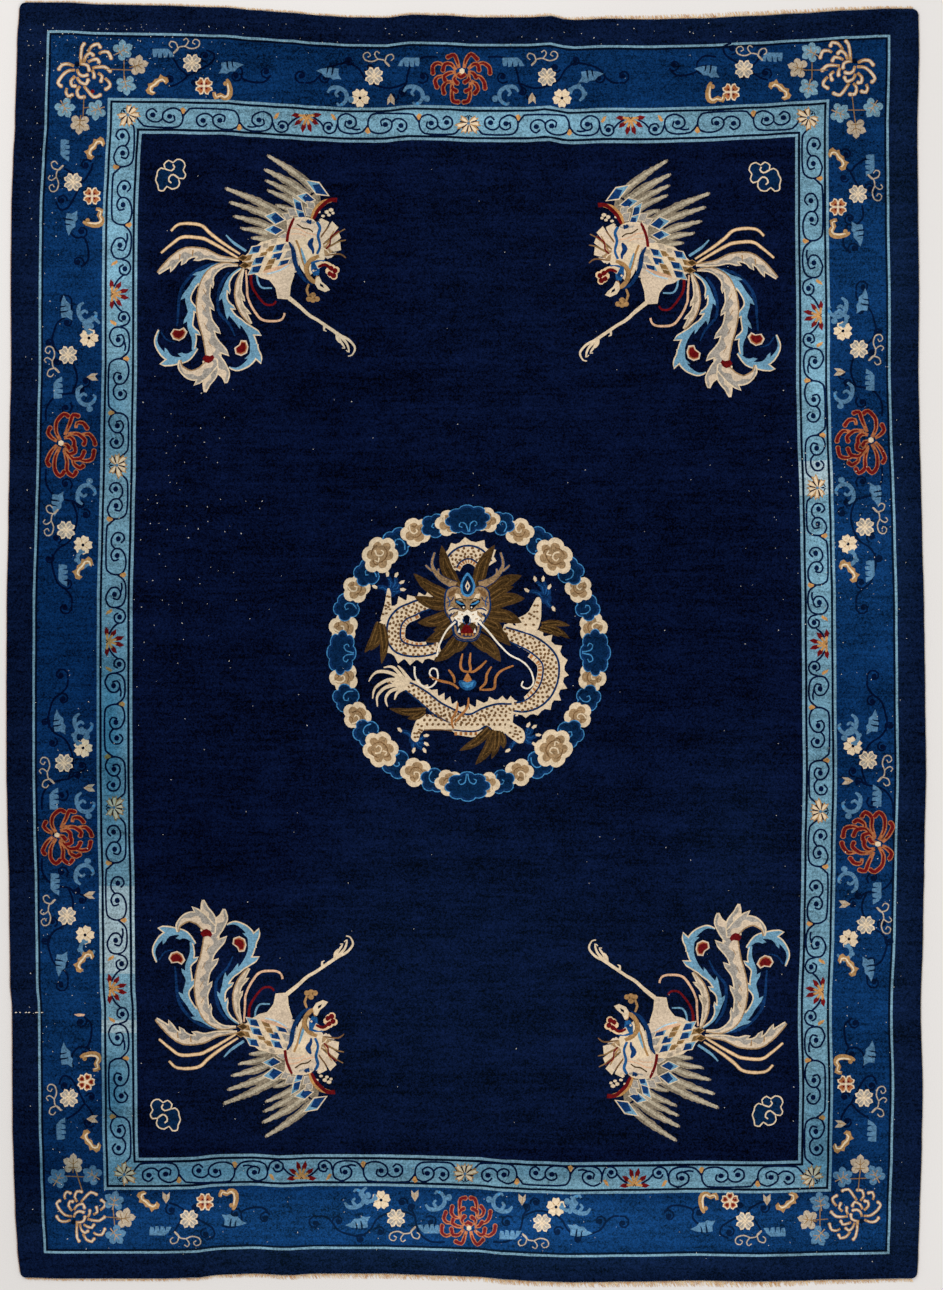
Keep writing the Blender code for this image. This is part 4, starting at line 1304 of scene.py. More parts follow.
def topmost(middles, shapes):
    """For each place, the number of the last shape that covers it, or -1."""
    order = np.argsort(middles[:, 1])
    x, y = middles[order].T
    top = np.full(len(order), -1)
    for number, (_, outline) in enumerate(shapes):
        loop = np.round(np.asarray(outline) / GRAIN) * GRAIN
        low, high = np.searchsorted(y, (loop[:, 1].min(), loop[:, 1].max()))
        turns = np.zeros(high - low, int)
        for (x0, y0), (x1, y1) in zip(loop.tolist(), np.roll(loop, -1, axis=0).tolist()):
            if y0 == y1:
                continue
            a, b = np.searchsorted(y, (min(y0, y1), max(y0, y1)))
            crossing = x0 + (y[a:b] - y0) * ((x1 - x0) / (y1 - y0))
            turns[a - low:b - low] += np.where(x[a:b] < crossing, 1 if y1 > y0 else -1, 0)
        top[low:high][turns != 0] = number
    found = np.empty_like(top)
    found[order] = top
    return found


def dyed_triangles(shapes, kept_loops):
    """The fewest triangles that show every visible edge, with a dye for each."""
    names = sorted({dye for dye, _ in shapes})
    code = np.array([names.index(dye) for dye, _ in shapes] + [-1])
    points, faces = triangulate(*join_loops([outline for _, outline in shapes]))
    dyes = code[topmost(points[faces].mean(axis=1), shapes)]
    sides = np.sort(np.concatenate((faces[:, (0, 1)], faces[:, (1, 2)], faces[:, (2, 0)])), axis=1)
    owner = np.tile(np.arange(len(faces)), 3)
    order = np.lexsort((sides[:, 1], sides[:, 0]))
    sides, owner = sides[order], owner[order]
    twin = np.nonzero((sides[1:] == sides[:-1]).all(axis=1))[0]
    border = twin[dyes[owner[twin]] != dyes[owner[twin + 1]]]
    used, flat = np.unique(sides[border], return_inverse=True)
    columns, rows = np.arange(24, 915, 21.3), np.arange(12, 1275, 21.7)
    grid = [(column, row) for column in columns for row in rows]
    rows, pairs = join_loops(kept_loops, points[used], flat.reshape(-1, 2).tolist())
    points, faces = triangulate(rows + grid, pairs)
    inside = topmost(points[faces].mean(axis=1), shapes)
    faces, inside = faces[inside >= 0], inside[inside >= 0]
    return points, faces, [names[k] for k in code[inside]]


rim_loops = [on_paper(ring(*[inset] * 5, CORNER_RADIUS, shift=MIDDLE_SHIFT))
             for inset in (0.0, 1.2)]
pile_points, pile_faces, pile_dyes = dyed_triangles(cartoon, rim_loops)
back_points, back_faces, back_dyes = dyed_triangles(cartoon[:len(BANDS) + 1], rim_loops)
print(len(pile_faces), "triangles of pile and", len(back_faces), "of back")

# %% [markdown]
# ## The cloth
#
# The pile, the back and a rounded rim close into one body, ten millimetres thick. The
# underside is flat on the floor. The top rises and falls by about a millimetre, as old
# wool does, and drops over the rim. The UV map lays the top and the back side by
# side, for anyone who bakes the dyes to a picture later.

# %% Rise and fall
def swell(x, y):
    """Height of the pile over its mean, in metres, at places in metres."""
    waves = (
        # size in millimetres, waves per metre across and along, and phase
        (0.50, 0.9, 0.35, 0.3), (0.40, -0.5, 1.1, 1.9), (0.30, 2.1, 0.8, 4.0),
        (0.22, 0.4, 3.1, 2.6), (0.16, 3.7, -1.9, 5.1), (0.12, -4.4, 3.6, 0.8),
    )
    height = np.zeros_like(x)
    for size, across, along, phase in waves:
        height += size * np.sin(2 * math.pi * (across * x + along * y) + phase)
    # A fold that never quite came out runs along the middle
    height -= 0.5 * np.exp(-((x - 0.012 * np.sin(2.2 * y)) / 0.012) ** 2) * (np.abs(y) < 1.7)
    return height / 1000


# %% Wear, and painted sheen and shade
# Soft spots where the wool has faded or is darker, and broad ones over the field that are
# painted sheen and shade, where the lie of the pile catches more or less light: column,
# row, half width, half height, and how pale it is
WEAR_SHEEN_AND_SHADE = pts("""
    868,545,44,80,0.5 467,1262,420,14,0.36 905,640,14,600,0.24 820,560,18,60,0.4 118,250,18,110,0.6
    110,740,20,130,-0.55 112,1086,18,50,-0.5 820,360,18,90,0.6 470,122,330,15,0.4
    470,1172,330,14,-0.42 60,40,90,40,0.16 467,980,260,200,0.3 112,400,18,70,-0.4 820,740,18,100,-0.15
    470,260,150,120,0.06 740,850,60,120,0.22 467,1224,420,30,1.3 340,330,60,200,-0.14
    250,620,120,160,-0.1 690,640,120,140,-0.06 220,850,100,80,-0.22 52,660,44,170,-0.14
    860,640,50,80,0.1 868,950,50,120,0.33 868,270,50,100,0.55 66,260,50,90,0.16 66,1000,50,100,0.2
    600,60,200,30,0.13 458,980,3,170,0.16 66,640,40,60,-0.1 180,1175,90,16,-0.3 118,1140,20,80,-0.16
    820,1140,20,70,-0.38 40,1200,40,80,-0.35 130,1262,110,12,-0.3 905,100,14,120,0.3
    780,19,110,10,0.35 880,1150,30,60,0.22""")


def spread(spots, columns, rows):
    """The sum of a table of soft spots, at places on the paper."""
    total = np.zeros_like(columns)
    for column, row, wide, tall, amount in spots:
        total += amount * np.exp(-((columns - column) / wide) ** 2 - ((rows - row) / tall) ** 2)
    return total


# %% Close the body
PILE_TOP = 0.0100
# How far the pile drops at the very rim, and just inside it
RIM_DROP, SHOULDER_DROP = 0.0026, 0.0002
# Height of each ring of the rim, and how far it bulges beyond the edge of the pile
RIM_RINGS = ((0.0052, 0.0009), (0.0022, 0.0007))


def boundary_loop(points, wanted):
    """The indices of mesh points that lie on a loop of the paper, in its order."""
    place = {tuple(np.round(point / GRAIN).astype(int)): i for i, point in enumerate(points)}
    found = []
    for row in np.round(np.asarray(wanted) / GRAIN).astype(int).tolist():
        index = place[tuple(row)]
        if not found or found[-1] != index:
            found.append(index)
    return found


def body_mesh():
    """The closed body: its points, its faces and the dye of each face."""
    top_xy, back_xy = on_floor(pile_points), on_floor(back_points)
    top_z = PILE_TOP + swell(*top_xy.T)
    edge, shoulder = (boundary_loop(pile_points, loop) for loop in rim_loops)
    top_z[edge] = PILE_TOP - RIM_DROP
    top_z[shoulder] = PILE_TOP - SHOULDER_DROP
    points = [(x, y, z) for (x, y), z in zip(top_xy, top_z)]
    points += [(x, y, 0.0) for x, y in back_xy]
    faces = [tuple(face) for face in pile_faces]
    faces += [tuple(int(k) + len(pile_points) for k in face) for face in back_faces]
    kinds = list(pile_dyes) + [dye + "_back" for dye in back_dyes]
    # The rim: from the edge of the pile, out a little, and down to the edge of the back
    rings = [edge]
    for height, out in RIM_RINGS:
        rings.append(list(range(len(points), len(points) + len(edge))))
        for x, y, _ in [points[k] for k in edge]:
            away = np.array((x, y)) / np.hypot(x, y)
            points.append((x + away[0] * out, y + away[1] * out, height))
    rings.append([k + len(pile_points) for k in boundary_loop(back_points, rim_loops[0])])
    for upper, lower in zip(rings, rings[1:]):
        count = len(upper)
        for k in range(count):
            m = (k + 1) % count
            faces.append((upper[k], lower[k], lower[m], upper[m]))
            kinds.append("midnight_edge")
    return points, faces, kinds


rug_points, rug_faces, rug_kinds = body_mesh()
print(len(rug_points), "points,", len(rug_faces), "faces")

# %% [markdown]
# ## Dyed wool
#
# All the colours are one material in real life: hand-spun wool, cut short, in many
# dyes. So one node group holds what every dye shares, and a short material for each
# dye feeds it a colour. Rows of knots run across the rug, about 3.8 mm apart, and no
# two dye lots match, so the colour drifts in bands across the rug, which is called
# abrash. The cut ends of the yarn make a fine grain.

# %% Colours and nodes
def linear(hex_colour):
    """An sRGB hex colour as linear red, green, blue and full alpha."""
    channels = [int(hex_colour[k:k + 2], 16) / 255 for k in (0, 2, 4)]
    return tuple(c / 12.92 if c <= 0.04045 else ((c + 0.055) / 1.055) ** 2.4
                 for c in channels) + (1.0,)


def add(tree, kind, links=None, **settings):
    """Adds a node, with its settings, and its inputs as values or as links."""
    made = tree.nodes.new(kind)
    for name, value in settings.items():
        setattr(made, name, value)
    for name, value in (links or {}).items():
        socket = made.inputs[name]
        if isinstance(value, bpy.types.NodeSocket):
            tree.links.new(value, socket)
        else:
            socket.default_value = value
    return made


def new_material(name, roughness, reflection):
    """A material with its nodes and its shader."""
    made = bpy.data.materials.new(name)
    made.use_nodes = True
    shader = made.node_tree.nodes["Principled BSDF"]
    shader.inputs["Roughness"].default_value = roughness
    shader.inputs["Specular IOR Level"].default_value = reflection
    return made, made.node_tree, shader


# %% What every dye shares
# Width of a cell of the noise that stands for a knot, in metres
KNOT = 0.0034
pile_nodes = bpy.data.node_groups.new("knotted_pile", "ShaderNodeTree")
for label, kind, direction in (
    ("Dye", "NodeSocketColor", "INPUT"), ("Streaks", "NodeSocketFloat", "INPUT"),
    ("Grain", "NodeSocketFloat", "INPUT"), ("Color", "NodeSocketColor", "OUTPUT"),
    ("Height", "NodeSocketFloat", "OUTPUT"),
):
    pile_nodes.interface.new_socket(label, in_out=direction, socket_type=kind)
g = pile_nodes
given = add(g, "NodeGroupInput")
result = add(g, "NodeGroupOutput")
place = add(g, "ShaderNodeTexCoord").outputs["Object"]
# Rows of knots: long across the rug, one or two knots deep
row_place = add(g, "ShaderNodeMapping", {"Vector": place, "Scale": (9.0, 0.30 / KNOT, 1.0)})
rows = add(g, "ShaderNodeTexNoise", {"Vector": row_place.outputs[0], "Scale": 1.0, "Detail": 2.0,
                                     "Roughness": 0.65})
# Abrash: bands of one dye lot, 5 to 30 cm deep, which fade out along their length
lot_place = add(g, "ShaderNodeMapping", {"Vector": place, "Scale": (1.1, 11.0, 1.0)})
lots = add(g, "ShaderNodeTexNoise", {"Vector": lot_place.outputs[0], "Scale": 1.0, "Detail": 4.0,
                                     "Roughness": 0.68})
# Blotches of wear and dust, about as wide as a hand
blotches = add(g, "ShaderNodeTexNoise", {"Vector": place, "Scale": 9.0, "Detail": 6.0,
                                         "Roughness": 0.7})
# Each knot is one cell: a tuft that took the dye in its own way
tufts = add(g, "ShaderNodeTexVoronoi", {"Vector": place, "Scale": 1 / KNOT, "Randomness": 0.8})
tone = add(g, "ShaderNodeSeparateColor", {0: tufts.outputs["Color"]}).outputs[0]
clumps = add(g, "ShaderNodeTexNoise", {"Vector": place, "Scale": 0.42 / KNOT, "Detail": 3.0,
                                       "Roughness": 0.8})
# What each adds to the brightness, where all are 0.5 in their middle: pale wool varies
# less than dark wool, so its dye has less grain
total = 1.0
for source, label, factor in (
    (rows.outputs["Fac"], "Streaks", 1.25), (tone, "Grain", 1.5),
    (clumps.outputs["Fac"], "Grain", 2.9), (lots.outputs["Fac"], "Grain", 1.9),
    (blotches.outputs["Fac"], "Grain", 1.75),
):
    centred = add(g, "ShaderNodeMath", {0: source, 1: 0.5}, operation="SUBTRACT").outputs[0]
    scaled = add(g, "ShaderNodeMath", {0: centred, 1: factor}, operation="MULTIPLY").outputs[0]
    total = add(g, "ShaderNodeMath", {0: scaled, 1: given.outputs[label], 2: total},
                operation="MULTIPLY_ADD").outputs[0]
bright = add(g, "ShaderNodeMath", {0: total, 1: 0.12}, operation="MAXIMUM").outputs[0]
# A negative spot is darker and a positive one is paler: some are wool that is deeper in
# colour, and wool faded by light and feet, and the broad ones over the field are painted
# shade and sheen
spot = add(g, "ShaderNodeAttribute", attribute_name="wear_sheen_and_shade").outputs["Fac"]
paler_wear_and_sheen = add(g, "ShaderNodeMath", {0: spot, 1: 0.0}, operation="MAXIMUM").outputs[0]
darker_wear_and_shade = add(g, "ShaderNodeMath", {0: spot, 1: 0.0}, operation="MINIMUM").outputs[0]
# A darker spot loses its red first, so it turns a purer blue, where the dye is deeper and
# where shade is painted
level = add(g, "ShaderNodeVectorMath", {0: (1.38, 0.96, 0.70), "Scale": darker_wear_and_shade},
            operation="SCALE").outputs[0]
# Dyes with much grain grow palest, where faded and where sheen is painted, and undyed wool
# hardly at all
paler = add(g, "ShaderNodeMath", {0: paler_wear_and_sheen, 1: given.outputs["Grain"], 2: 1.0},
            operation="MULTIPLY_ADD").outputs[0]
level = add(g, "ShaderNodeVectorMath", {0: level, 1: paler}).outputs[0]
toned = add(g, "ShaderNodeVectorMath", {0: level, "Scale": bright}, operation="SCALE").outputs[0]
shaded = add(g, "ShaderNodeVectorMath", {0: given.outputs["Dye"], 1: toned},
             operation="MULTIPLY").outputs[0]
# A faint blue haze of dust rises with the paler spots, on faded wool and painted sheen alike
haze = add(g, "ShaderNodeVectorMath", {0: (0.0015, 0.0065, 0.010), "Scale": paler_wear_and_sheen},
           operation="SCALE").outputs[0]
hazed = add(g, "ShaderNodeVectorMath", {0: shaded, 1: haze}).outputs[0]
g.links.new(hazed, result.inputs["Color"])
heap = add(g, "ShaderNodeMath", {0: tufts.outputs["Distance"], 1: -0.8}, operation="MULTIPLY")
height = add(g, "ShaderNodeMath", {0: heap.outputs[0], 1: clumps.outputs["Fac"]},
             operation="ADD")
g.links.new(height.outputs[0], result.inputs["Height"])

# %% [markdown]
# The dyes themselves are the plant and early factory dyes of such a rug: indigo in six
# strengths, walnut and natural browns, madder-like reds, and undyed ivory. Wool
# scatters light in all directions and hardly shines, so roughness is high and the
# clear reflection is very low.

# %% Dyes
# Name, sRGB colour, strength of streaks and of grain
DYES = {
    "midnight_edge": ("07122b", 1.1, 0.85), "midnight_field": ("050d26", 1.3, 1.0),
    "dark": ("030a1d", 0.6, 0.6), "indigo": ("07264c", 1.1, 0.75),
    "vine": ("020b26", 0.6, 0.6), "vine_fine": ("041030", 0.5, 0.5),
    "sky": ("698b9c", 0.4, 0.42), "sky_ground": ("658b9d", 0.7, 0.48),
    "sky_pale": ("90a5ad", 0.6, 0.42),
    "sky_leaf": ("4b6f8b", 0.4, 0.42), "ivory": ("d2bd9f", 0.22, 0.22),
    "cream": ("c9b59d", 0.25, 0.24), "cream_line": ("d8b78e", 0.22, 0.24),
    "tan": ("9b764b", 0.3, 0.36), "tan_soft": ("957958", 0.4, 0.4),
    "tan_dark": ("7c5f3b", 0.3, 0.4), "rust_light": ("b0814c", 0.3, 0.36),
    "grey_tan": ("a39480", 0.3, 0.36), "grey": ("968f86", 0.35, 0.36),
    "quill": ("7d715f", 0.5, 0.5), "quill_pale": ("a49984", 0.4, 0.4),
    "red": ("5f0e11", 0.4, 0.45), "rust": ("9c5f3a", 0.3, 0.4),
    "orange": ("a0693a", 0.35, 0.4), "pink": ("cda585", 0.25, 0.3),
    "brown": ("433019", 0.6, 0.55), "brown_light": ("664b28", 0.5, 0.5),
    "brown_dark": ("2c2011", 0.5, 0.5), "brown_soft": ("6e5032", 0.3, 0.4),
    "face": ("8c7152", 0.5, 0.5), "white": ("e4d9c6", 0.2, 0.2),
    "royal": ("0d2a52", 0.5, 0.6), "royal_dark": ("07203f", 0.5, 0.6),
    "azure": ("3c7aa8", 0.4, 0.45), "azure_dark": ("1c4c7c", 0.4, 0.5),
    "azure_pale": ("a9c1cd", 0.25, 0.3), "sky_bird": ("6690a8", 0.3, 0.35),
    "navy_bird": ("10305e", 0.4, 0.55),
}


def wool(name, hex_colour, streaks, grain, bump=0.5):
    """Cut wool pile in one dye."""
    made, tree, shader = new_material("wool_" + name, 0.95, 0.01)
    pattern = add(tree, "ShaderNodeGroup", node_tree=pile_nodes)
    for label, value in (("Dye", linear(hex_colour)), ("Streaks", streaks), ("Grain", grain)):
        pattern.inputs[label].default_value = value
    tree.links.new(pattern.outputs["Color"], shader.inputs["Base Color"])
    relief = add(tree, "ShaderNodeBump", {
        "Height": pattern.outputs["Height"], "Strength": bump, "Distance": 0.0012})
    tree.links.new(relief.outputs["Normal"], shader.inputs["Normal"])
    return made


wools = {name: wool(name, *row) for name, row in DYES.items()}
# The back of the rug shows the same dyes as flat rows of knots, duller and smoother
for _, _, dye in (("", 0, "midnight_edge"),) + BANDS:
    wools[dye + "_back"] = wool(dye + "_back", DYES[dye][0], 1.3, 0.7, 0.35)
print(len(wools), "dyed wools")


# %% Put the body together
def new_object(name, data):
    made = bpy.data.objects.new(name, data)
    bpy.context.scene.collection.objects.link(made)
    return made


def mesh_object(name, points, faces):
    mesh = bpy.data.meshes.new(name)
    mesh.from_pydata([tuple(map(float, point)) for point in points], [], faces)
    return new_object(name, mesh)


rug = mesh_object("pile_and_ground", rug_points, rug_faces)
used = sorted(set(rug_kinds))
for kind in used:
    rug.data.materials.append(wools[kind])
rug.data.polygons.foreach_set("material_index", [used.index(kind) for kind in rug_kinds])
solid = bmesh.new()
solid.from_mesh(rug.data)
bmesh.ops.recalc_face_normals(solid, faces=solid.faces)
loose = sum(1 for edge in solid.edges if not edge.is_manifold)
solid.to_mesh(rug.data)
solid.free()
paper = on_paper(np.array([point[:2] for point in rug_points]))
# Each point keeps its wear and its painted sheen and shade, for the colour of the pile
spots = rug.data.attributes.new("wear_sheen_and_shade", "FLOAT", "POINT")
spots.data.foreach_set("value", spread(WEAR_SHEEN_AND_SHADE, *paper.T))
rug.data.shade_smooth()
print(len(rug_faces), "faces, and", loose, "edges that are open or shared by more")

# %% UV map: the top fills most of the square, the back and the rim lie beside it
uv = rug.data.uv_layers.new(name="OFBake")
count = len(rug.data.loops)
corner = np.empty(count, int)
rug.data.loops.foreach_get("vertex_index", corner)
places = np.array([point[:3] for point in rug_points])[corner]
# Metres that the square covers, and from its corner to the middle of the rug
SQUARE_SIDE, TO_MIDDLE = 3.92, (1.41, 1.96)
# Size of the back beside the top, and the corners where the back and the rim start
BACK_SIZE, BACK_CORNER, RIM_CORNER = 0.38, (0.725, 0.01), (0.735, 0.42)
flat = (places[:, :2] + TO_MIDDLE) / SQUARE_SIDE
top_count, back_count = 3 * len(pile_faces), 3 * len(back_faces)
lower = slice(top_count, top_count + back_count)
flat[lower] = (places[lower, :2] * (-1, 1) + TO_MIDDLE) / SQUARE_SIDE * BACK_SIZE + BACK_CORNER
rim = slice(top_count + back_count, count)
around = np.arctan2(places[rim, 1], places[rim, 0]) / math.tau + 0.5
for start in range(0, len(around), 4):
    # Where the strip's ends meet, a face keeps all its corners at the same end
    four = around[start:start + 4]
    four[four < four.max() - 0.5] += 1
flat[rim, 0] = RIM_CORNER[0] + 0.24 * places[rim, 2] / PILE_TOP
flat[rim, 1] = RIM_CORNER[1] + 0.55 * around / 1.02
uv.data.foreach_set("uv", flat.ravel())
print("UV map from", flat.min().round(3), "to", flat.max().round(3))
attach(rug, "root")
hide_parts("rug_body")

# %% [markdown]
# ## Sides and ends
#
# Each long side is finished with a thick cord that is overcast with wool. Each short
# side ends in cut cotton warps that have frayed to a few millimetres. Both are repeats,
# so Geometry Nodes lays them along a line, and the result becomes a plain mesh.

# %% Lines along the edges
def edge_line(side, further, step=0.01):
    """Places along one edge of the rug, this many metres outside it."""
    reach_x, reach_y = WIDTH / 2 - CORNER_RADIUS, LENGTH / 2 - CORNER_RADIUS
    sides = {
        "left": ((-WIDTH / 2 - further, -reach_y), (-WIDTH / 2 - further, reach_y)),
        "right": ((WIDTH / 2 + further, -reach_y), (WIDTH / 2 + further, reach_y)),
        "upper": ((-reach_x, LENGTH / 2 + further), (reach_x, LENGTH / 2 + further)),
        "lower": ((-reach_x, -LENGTH / 2 - further), (reach_x, -LENGTH / 2 - further)),
    }
    (x0, y0), (x1, y1) = sides[side]
    count = round(math.dist((x0, y0), (x1, y1)) / step)
    line = [strayed(x0 + (x1 - x0) * k / count, y0 + (y1 - y0) * k / count)
            for k in range(count + 1)]
    return [(x + MIDDLE_SHIFT[0], y + MIDDLE_SHIFT[1]) for x, y in line]


def line_object(name, points, height, reach=None):
    """A chain of edges; reach is how long a strand is at each of its points."""
    mesh = bpy.data.meshes.new(name)
    mesh.from_pydata([(x, y, height) for x, y in points],
                     [(k, k + 1) for k in range(len(points) - 1)], [])
    attribute = mesh.attributes.new("reach", "FLOAT", "POINT")
    attribute.data.foreach_set("value", reach or [1.0] * len(points))
    return new_object(name, mesh)


def new_tree(name, *inputs):
    """An empty Geometry Nodes tree with its named inputs: (label, kind, value)."""
    tree = bpy.data.node_groups.new(name, "GeometryNodeTree")
    tree.interface.new_socket("Geometry", in_out="INPUT", socket_type="NodeSocketGeometry")
    for label, kind, value in inputs:
        socket = tree.interface.new_socket(label, in_out="INPUT", socket_type=kind)
        if value is not None:
            socket.default_value = value
    tree.interface.new_socket("Geometry", in_out="OUTPUT", socket_type="NodeSocketGeometry")
    return tree, add(tree, "NodeGroupInput").outputs


def end_tree(tree, geometry, material):
    """The last nodes of every tree: real geometry, and its material."""
    real = add(tree, "GeometryNodeRealizeInstances", {0: geometry}).outputs[0]
    done = add(tree, "GeometryNodeSetMaterial", {"Geometry": real, "Material": material})
    add(tree, "NodeGroupOutput", {"Geometry": done.outputs[0]})


def grown(source, name, tree, **values):
    """Runs a tree on an object, which its plain mesh then replaces."""
    modifier = source.modifiers.new("grow", "NODES")
    modifier.node_group = tree
    sockets = {item.name: item.identifier for item in tree.interface.items_tree
               if item.item_type == "SOCKET" and item.in_out == "INPUT"}
    for label, value in values.items():
        modifier[sockets[label.replace("_", " ")]] = value
    graph = bpy.context.evaluated_depsgraph_get()
    mesh = bpy.data.meshes.new_from_object(source.evaluated_get(graph))
    source.modifiers.remove(modifier)
    bpy.data.objects.remove(source)
    mesh.name = name
    return new_object(name, mesh)


# %% Cut cotton warps
def yarn(name, light, dark, scale):
    """Loose spun yarn in two tones, which change so many times a metre, with hairs."""
    made, tree, shader = new_material(name, 0.9, 0.1)
    shader.inputs["Sheen Weight"].default_value = 0.05
    place = add(tree, "ShaderNodeTexCoord").outputs["Object"]
    tones = add(tree, "ShaderNodeTexNoise", {
        "Vector": place, "Scale": scale, "Detail": 3.0, "Roughness": 0.65})
    mixed = add(tree, "ShaderNodeValToRGB", {"Fac": tones.outputs["Fac"]})
    for stop, start, tone in zip(mixed.color_ramp.elements, (0.32, 0.68), (dark, light)):
        stop.position, stop.color = start, linear(tone)
    tree.links.new(mixed.outputs["Color"], shader.inputs["Base Color"])
    hairs = add(tree, "ShaderNodeTexWave", {
        "Vector": place, "Scale": 1 / 0.0012, "Distortion": 3.0, "Detail": 2.0})
    relief = add(tree, "ShaderNodeBump", {
        "Height": hairs.outputs["Fac"], "Strength": 0.4, "Distance": 0.0003})
    tree.links.new(relief.outputs["Normal"], shader.inputs["Normal"])
    return made


# Undyed cotton warp, cut and frayed, from cream to tan
cotton = yarn("cotton_warp_undyed", "f3dcb4", "c58f56", 60)
# Wool overcast over the side cords: dusty rose and straw on the left, paler on the right
overcast_rose = yarn("wool_overcast_rose", "c9b2a4", "8d6f66", 16)
overcast_straw = yarn("wool_overcast_straw", "d3cabb", "8f8a84", 16)

strands, given = new_tree(
    "warp_ends", ("Count", "NodeSocketInt", 500), ("Thickness", "NodeSocketFloat", 0.0007),
    ("Turn", "NodeSocketFloat", 0.0), ("Seed", "NodeSocketInt", 1),
    ("Yarn", "NodeSocketMaterial", None))
line = add(strands, "GeometryNodeMeshToCurve", {"Mesh": given["Geometry"]}).outputs[0]
spaced = add(strands, "GeometryNodeResampleCurve", {"Curve": line, "Count": given["Count"]})
strand = add(strands, "GeometryNodeMeshCone", {
    "Vertices": 5, "Side Segments": 3, "Radius Top": 0.45, "Radius Bottom": 1.0, "Depth": 1.0})
reach = add(strands, "GeometryNodeInputNamedAttribute", {"Name": "reach"}, data_type="FLOAT")
uneven = add(strands, "FunctionNodeRandomValue", {2: 0.15, 3: 1.15, "Seed": given["Seed"]},
             data_type="FLOAT").outputs[1]
long = add(strands, "ShaderNodeMath", {0: reach.outputs[0], 1: uneven}, operation="MULTIPLY")
scale = add(strands, "ShaderNodeCombineXYZ", {
    "X": given["Thickness"], "Y": given["Thickness"], "Z": long.outputs[0]}).outputs[0]
lean = add(strands, "FunctionNodeRandomValue", {
    2: -0.75, 3: 0.75, "Seed": given["Seed"]}, data_type="FLOAT").outputs[1]
turned = add(strands, "ShaderNodeMath", {0: given["Turn"], 1: lean}, operation="ADD").outputs[0]
# The strand lies on the floor, so it is first tipped over and then turned
tipped = add(strands, "ShaderNodeCombineXYZ", {"X": math.radians(93.0), "Z": turned}).outputs[0]
laid = add(strands, "GeometryNodeInstanceOnPoints", {
    "Points": spaced.outputs[0], "Instance": strand.outputs[0], "Rotation": tipped,
    "Scale": scale})
end_tree(strands, laid.outputs[0], given["Yarn"])

# Length of the cut ends in millimetres, as (metres from the middle, length), and how
# long the whole strand is against the part that reaches out of the rug
UPPER_WARPS = pts("-1.36,3 -0.9,4 -0.3,4 0.2,5 0.8,9 1.36,5")
LOWER_WARPS = pts("-1.36,4 -0.85,5 -0.35,10 0.3,10 0.75,12 1.36,6")
WHOLE_STRAND = 1.7
for name, side, table, turn, seed in (
    ("warp_ends_upper", "upper", UPPER_WARPS, math.pi, 3),
    ("warp_ends_lower", "lower", LOWER_WARPS, 0.0, 8),
):
    points = edge_line(side, 0.0030)
    reach = [between(table, x) / 1000 * WHOLE_STRAND for x, _ in points]
    source = line_object("line_" + name, points, 0.0022, reach)
    ends = grown(source, name, strands, Count=1250, Thickness=0.0011, Turn=turn, Seed=seed,
                 Yarn=cotton)
    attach(ends, "root")
    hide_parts(name.replace("ends", "end"))
    print(name, len(ends.data.polygons), "faces")

# %% Overcast side cords
cords, given = new_tree(
    "overcast_cord", ("Radius", "NodeSocketFloat", 0.0014), ("Pitch", "NodeSocketFloat", 0.004),
    ("Seed", "NodeSocketInt", 1), ("Yarn", "NodeSocketMaterial", None))
line = add(cords, "GeometryNodeMeshToCurve", {"Mesh": given["Geometry"]}).outputs[0]
core_round = add(cords, "GeometryNodeCurvePrimitiveCircle", {
    "Resolution": 8, "Radius": given["Radius"]}).outputs[0]
core = add(cords, "GeometryNodeCurveToMesh", {
    "Curve": line, "Profile Curve": core_round, "Fill Caps": True}).outputs[0]
spaced = add(cords, "GeometryNodeResampleCurve", {"Curve": line, "Length": given["Pitch"]},
             mode="LENGTH").outputs[0]
loop = add(cords, "GeometryNodeCurvePrimitiveCircle", {"Resolution": 9, "Radius": 0.00135})
thread = add(cords, "GeometryNodeCurvePrimitiveCircle", {"Resolution": 5, "Radius": 0.00075})
stitch = add(cords, "GeometryNodeCurveToMesh", {
    "Curve": loop.outputs[0], "Profile Curve": thread.outputs[0]}).outputs[0]
along = add(cords, "GeometryNodeInputTangent").outputs[0]
sway = add(cords, "FunctionNodeRandomValue", {
    0: (-0.25, -0.25, -0.2), 1: (0.25, 0.25, 0.2), "Seed": given["Seed"]},
    data_type="FLOAT_VECTOR").outputs[0]
slanted = add(cords, "ShaderNodeVectorMath", {0: along, 1: sway}).outputs[0]
facing = add(cords, "FunctionNodeAlignEulerToVector", {"Vector": slanted}, axis="Z").outputs[0]
size = add(cords, "FunctionNodeRandomValue", {2: 0.82, 3: 1.12, "Seed": given["Seed"]},
           data_type="FLOAT").outputs[1]
sewn = add(cords, "GeometryNodeInstanceOnPoints", {
    "Points": spaced, "Instance": stitch, "Rotation": facing, "Scale": size}).outputs[0]
both = add(cords, "GeometryNodeJoinGeometry").inputs[0]
cords.links.new(core, both)
cords.links.new(sewn, both)
end_tree(cords, both.node.outputs[0], given["Yarn"])

for side, yarn_kind, seed in (("left", overcast_rose, 5), ("right", overcast_straw, 6)):
    source = line_object("line_" + side, edge_line(side, 0.0018), 0.0024)
    cord = grown(source, "selvedge_cord_" + side, cords, Seed=seed, Yarn=yarn_kind)
    cord.data.shade_smooth()
    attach(cord, "root")
    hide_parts("selvedge_" + side)
    print(cord.name, len(cord.data.polygons), "faces")

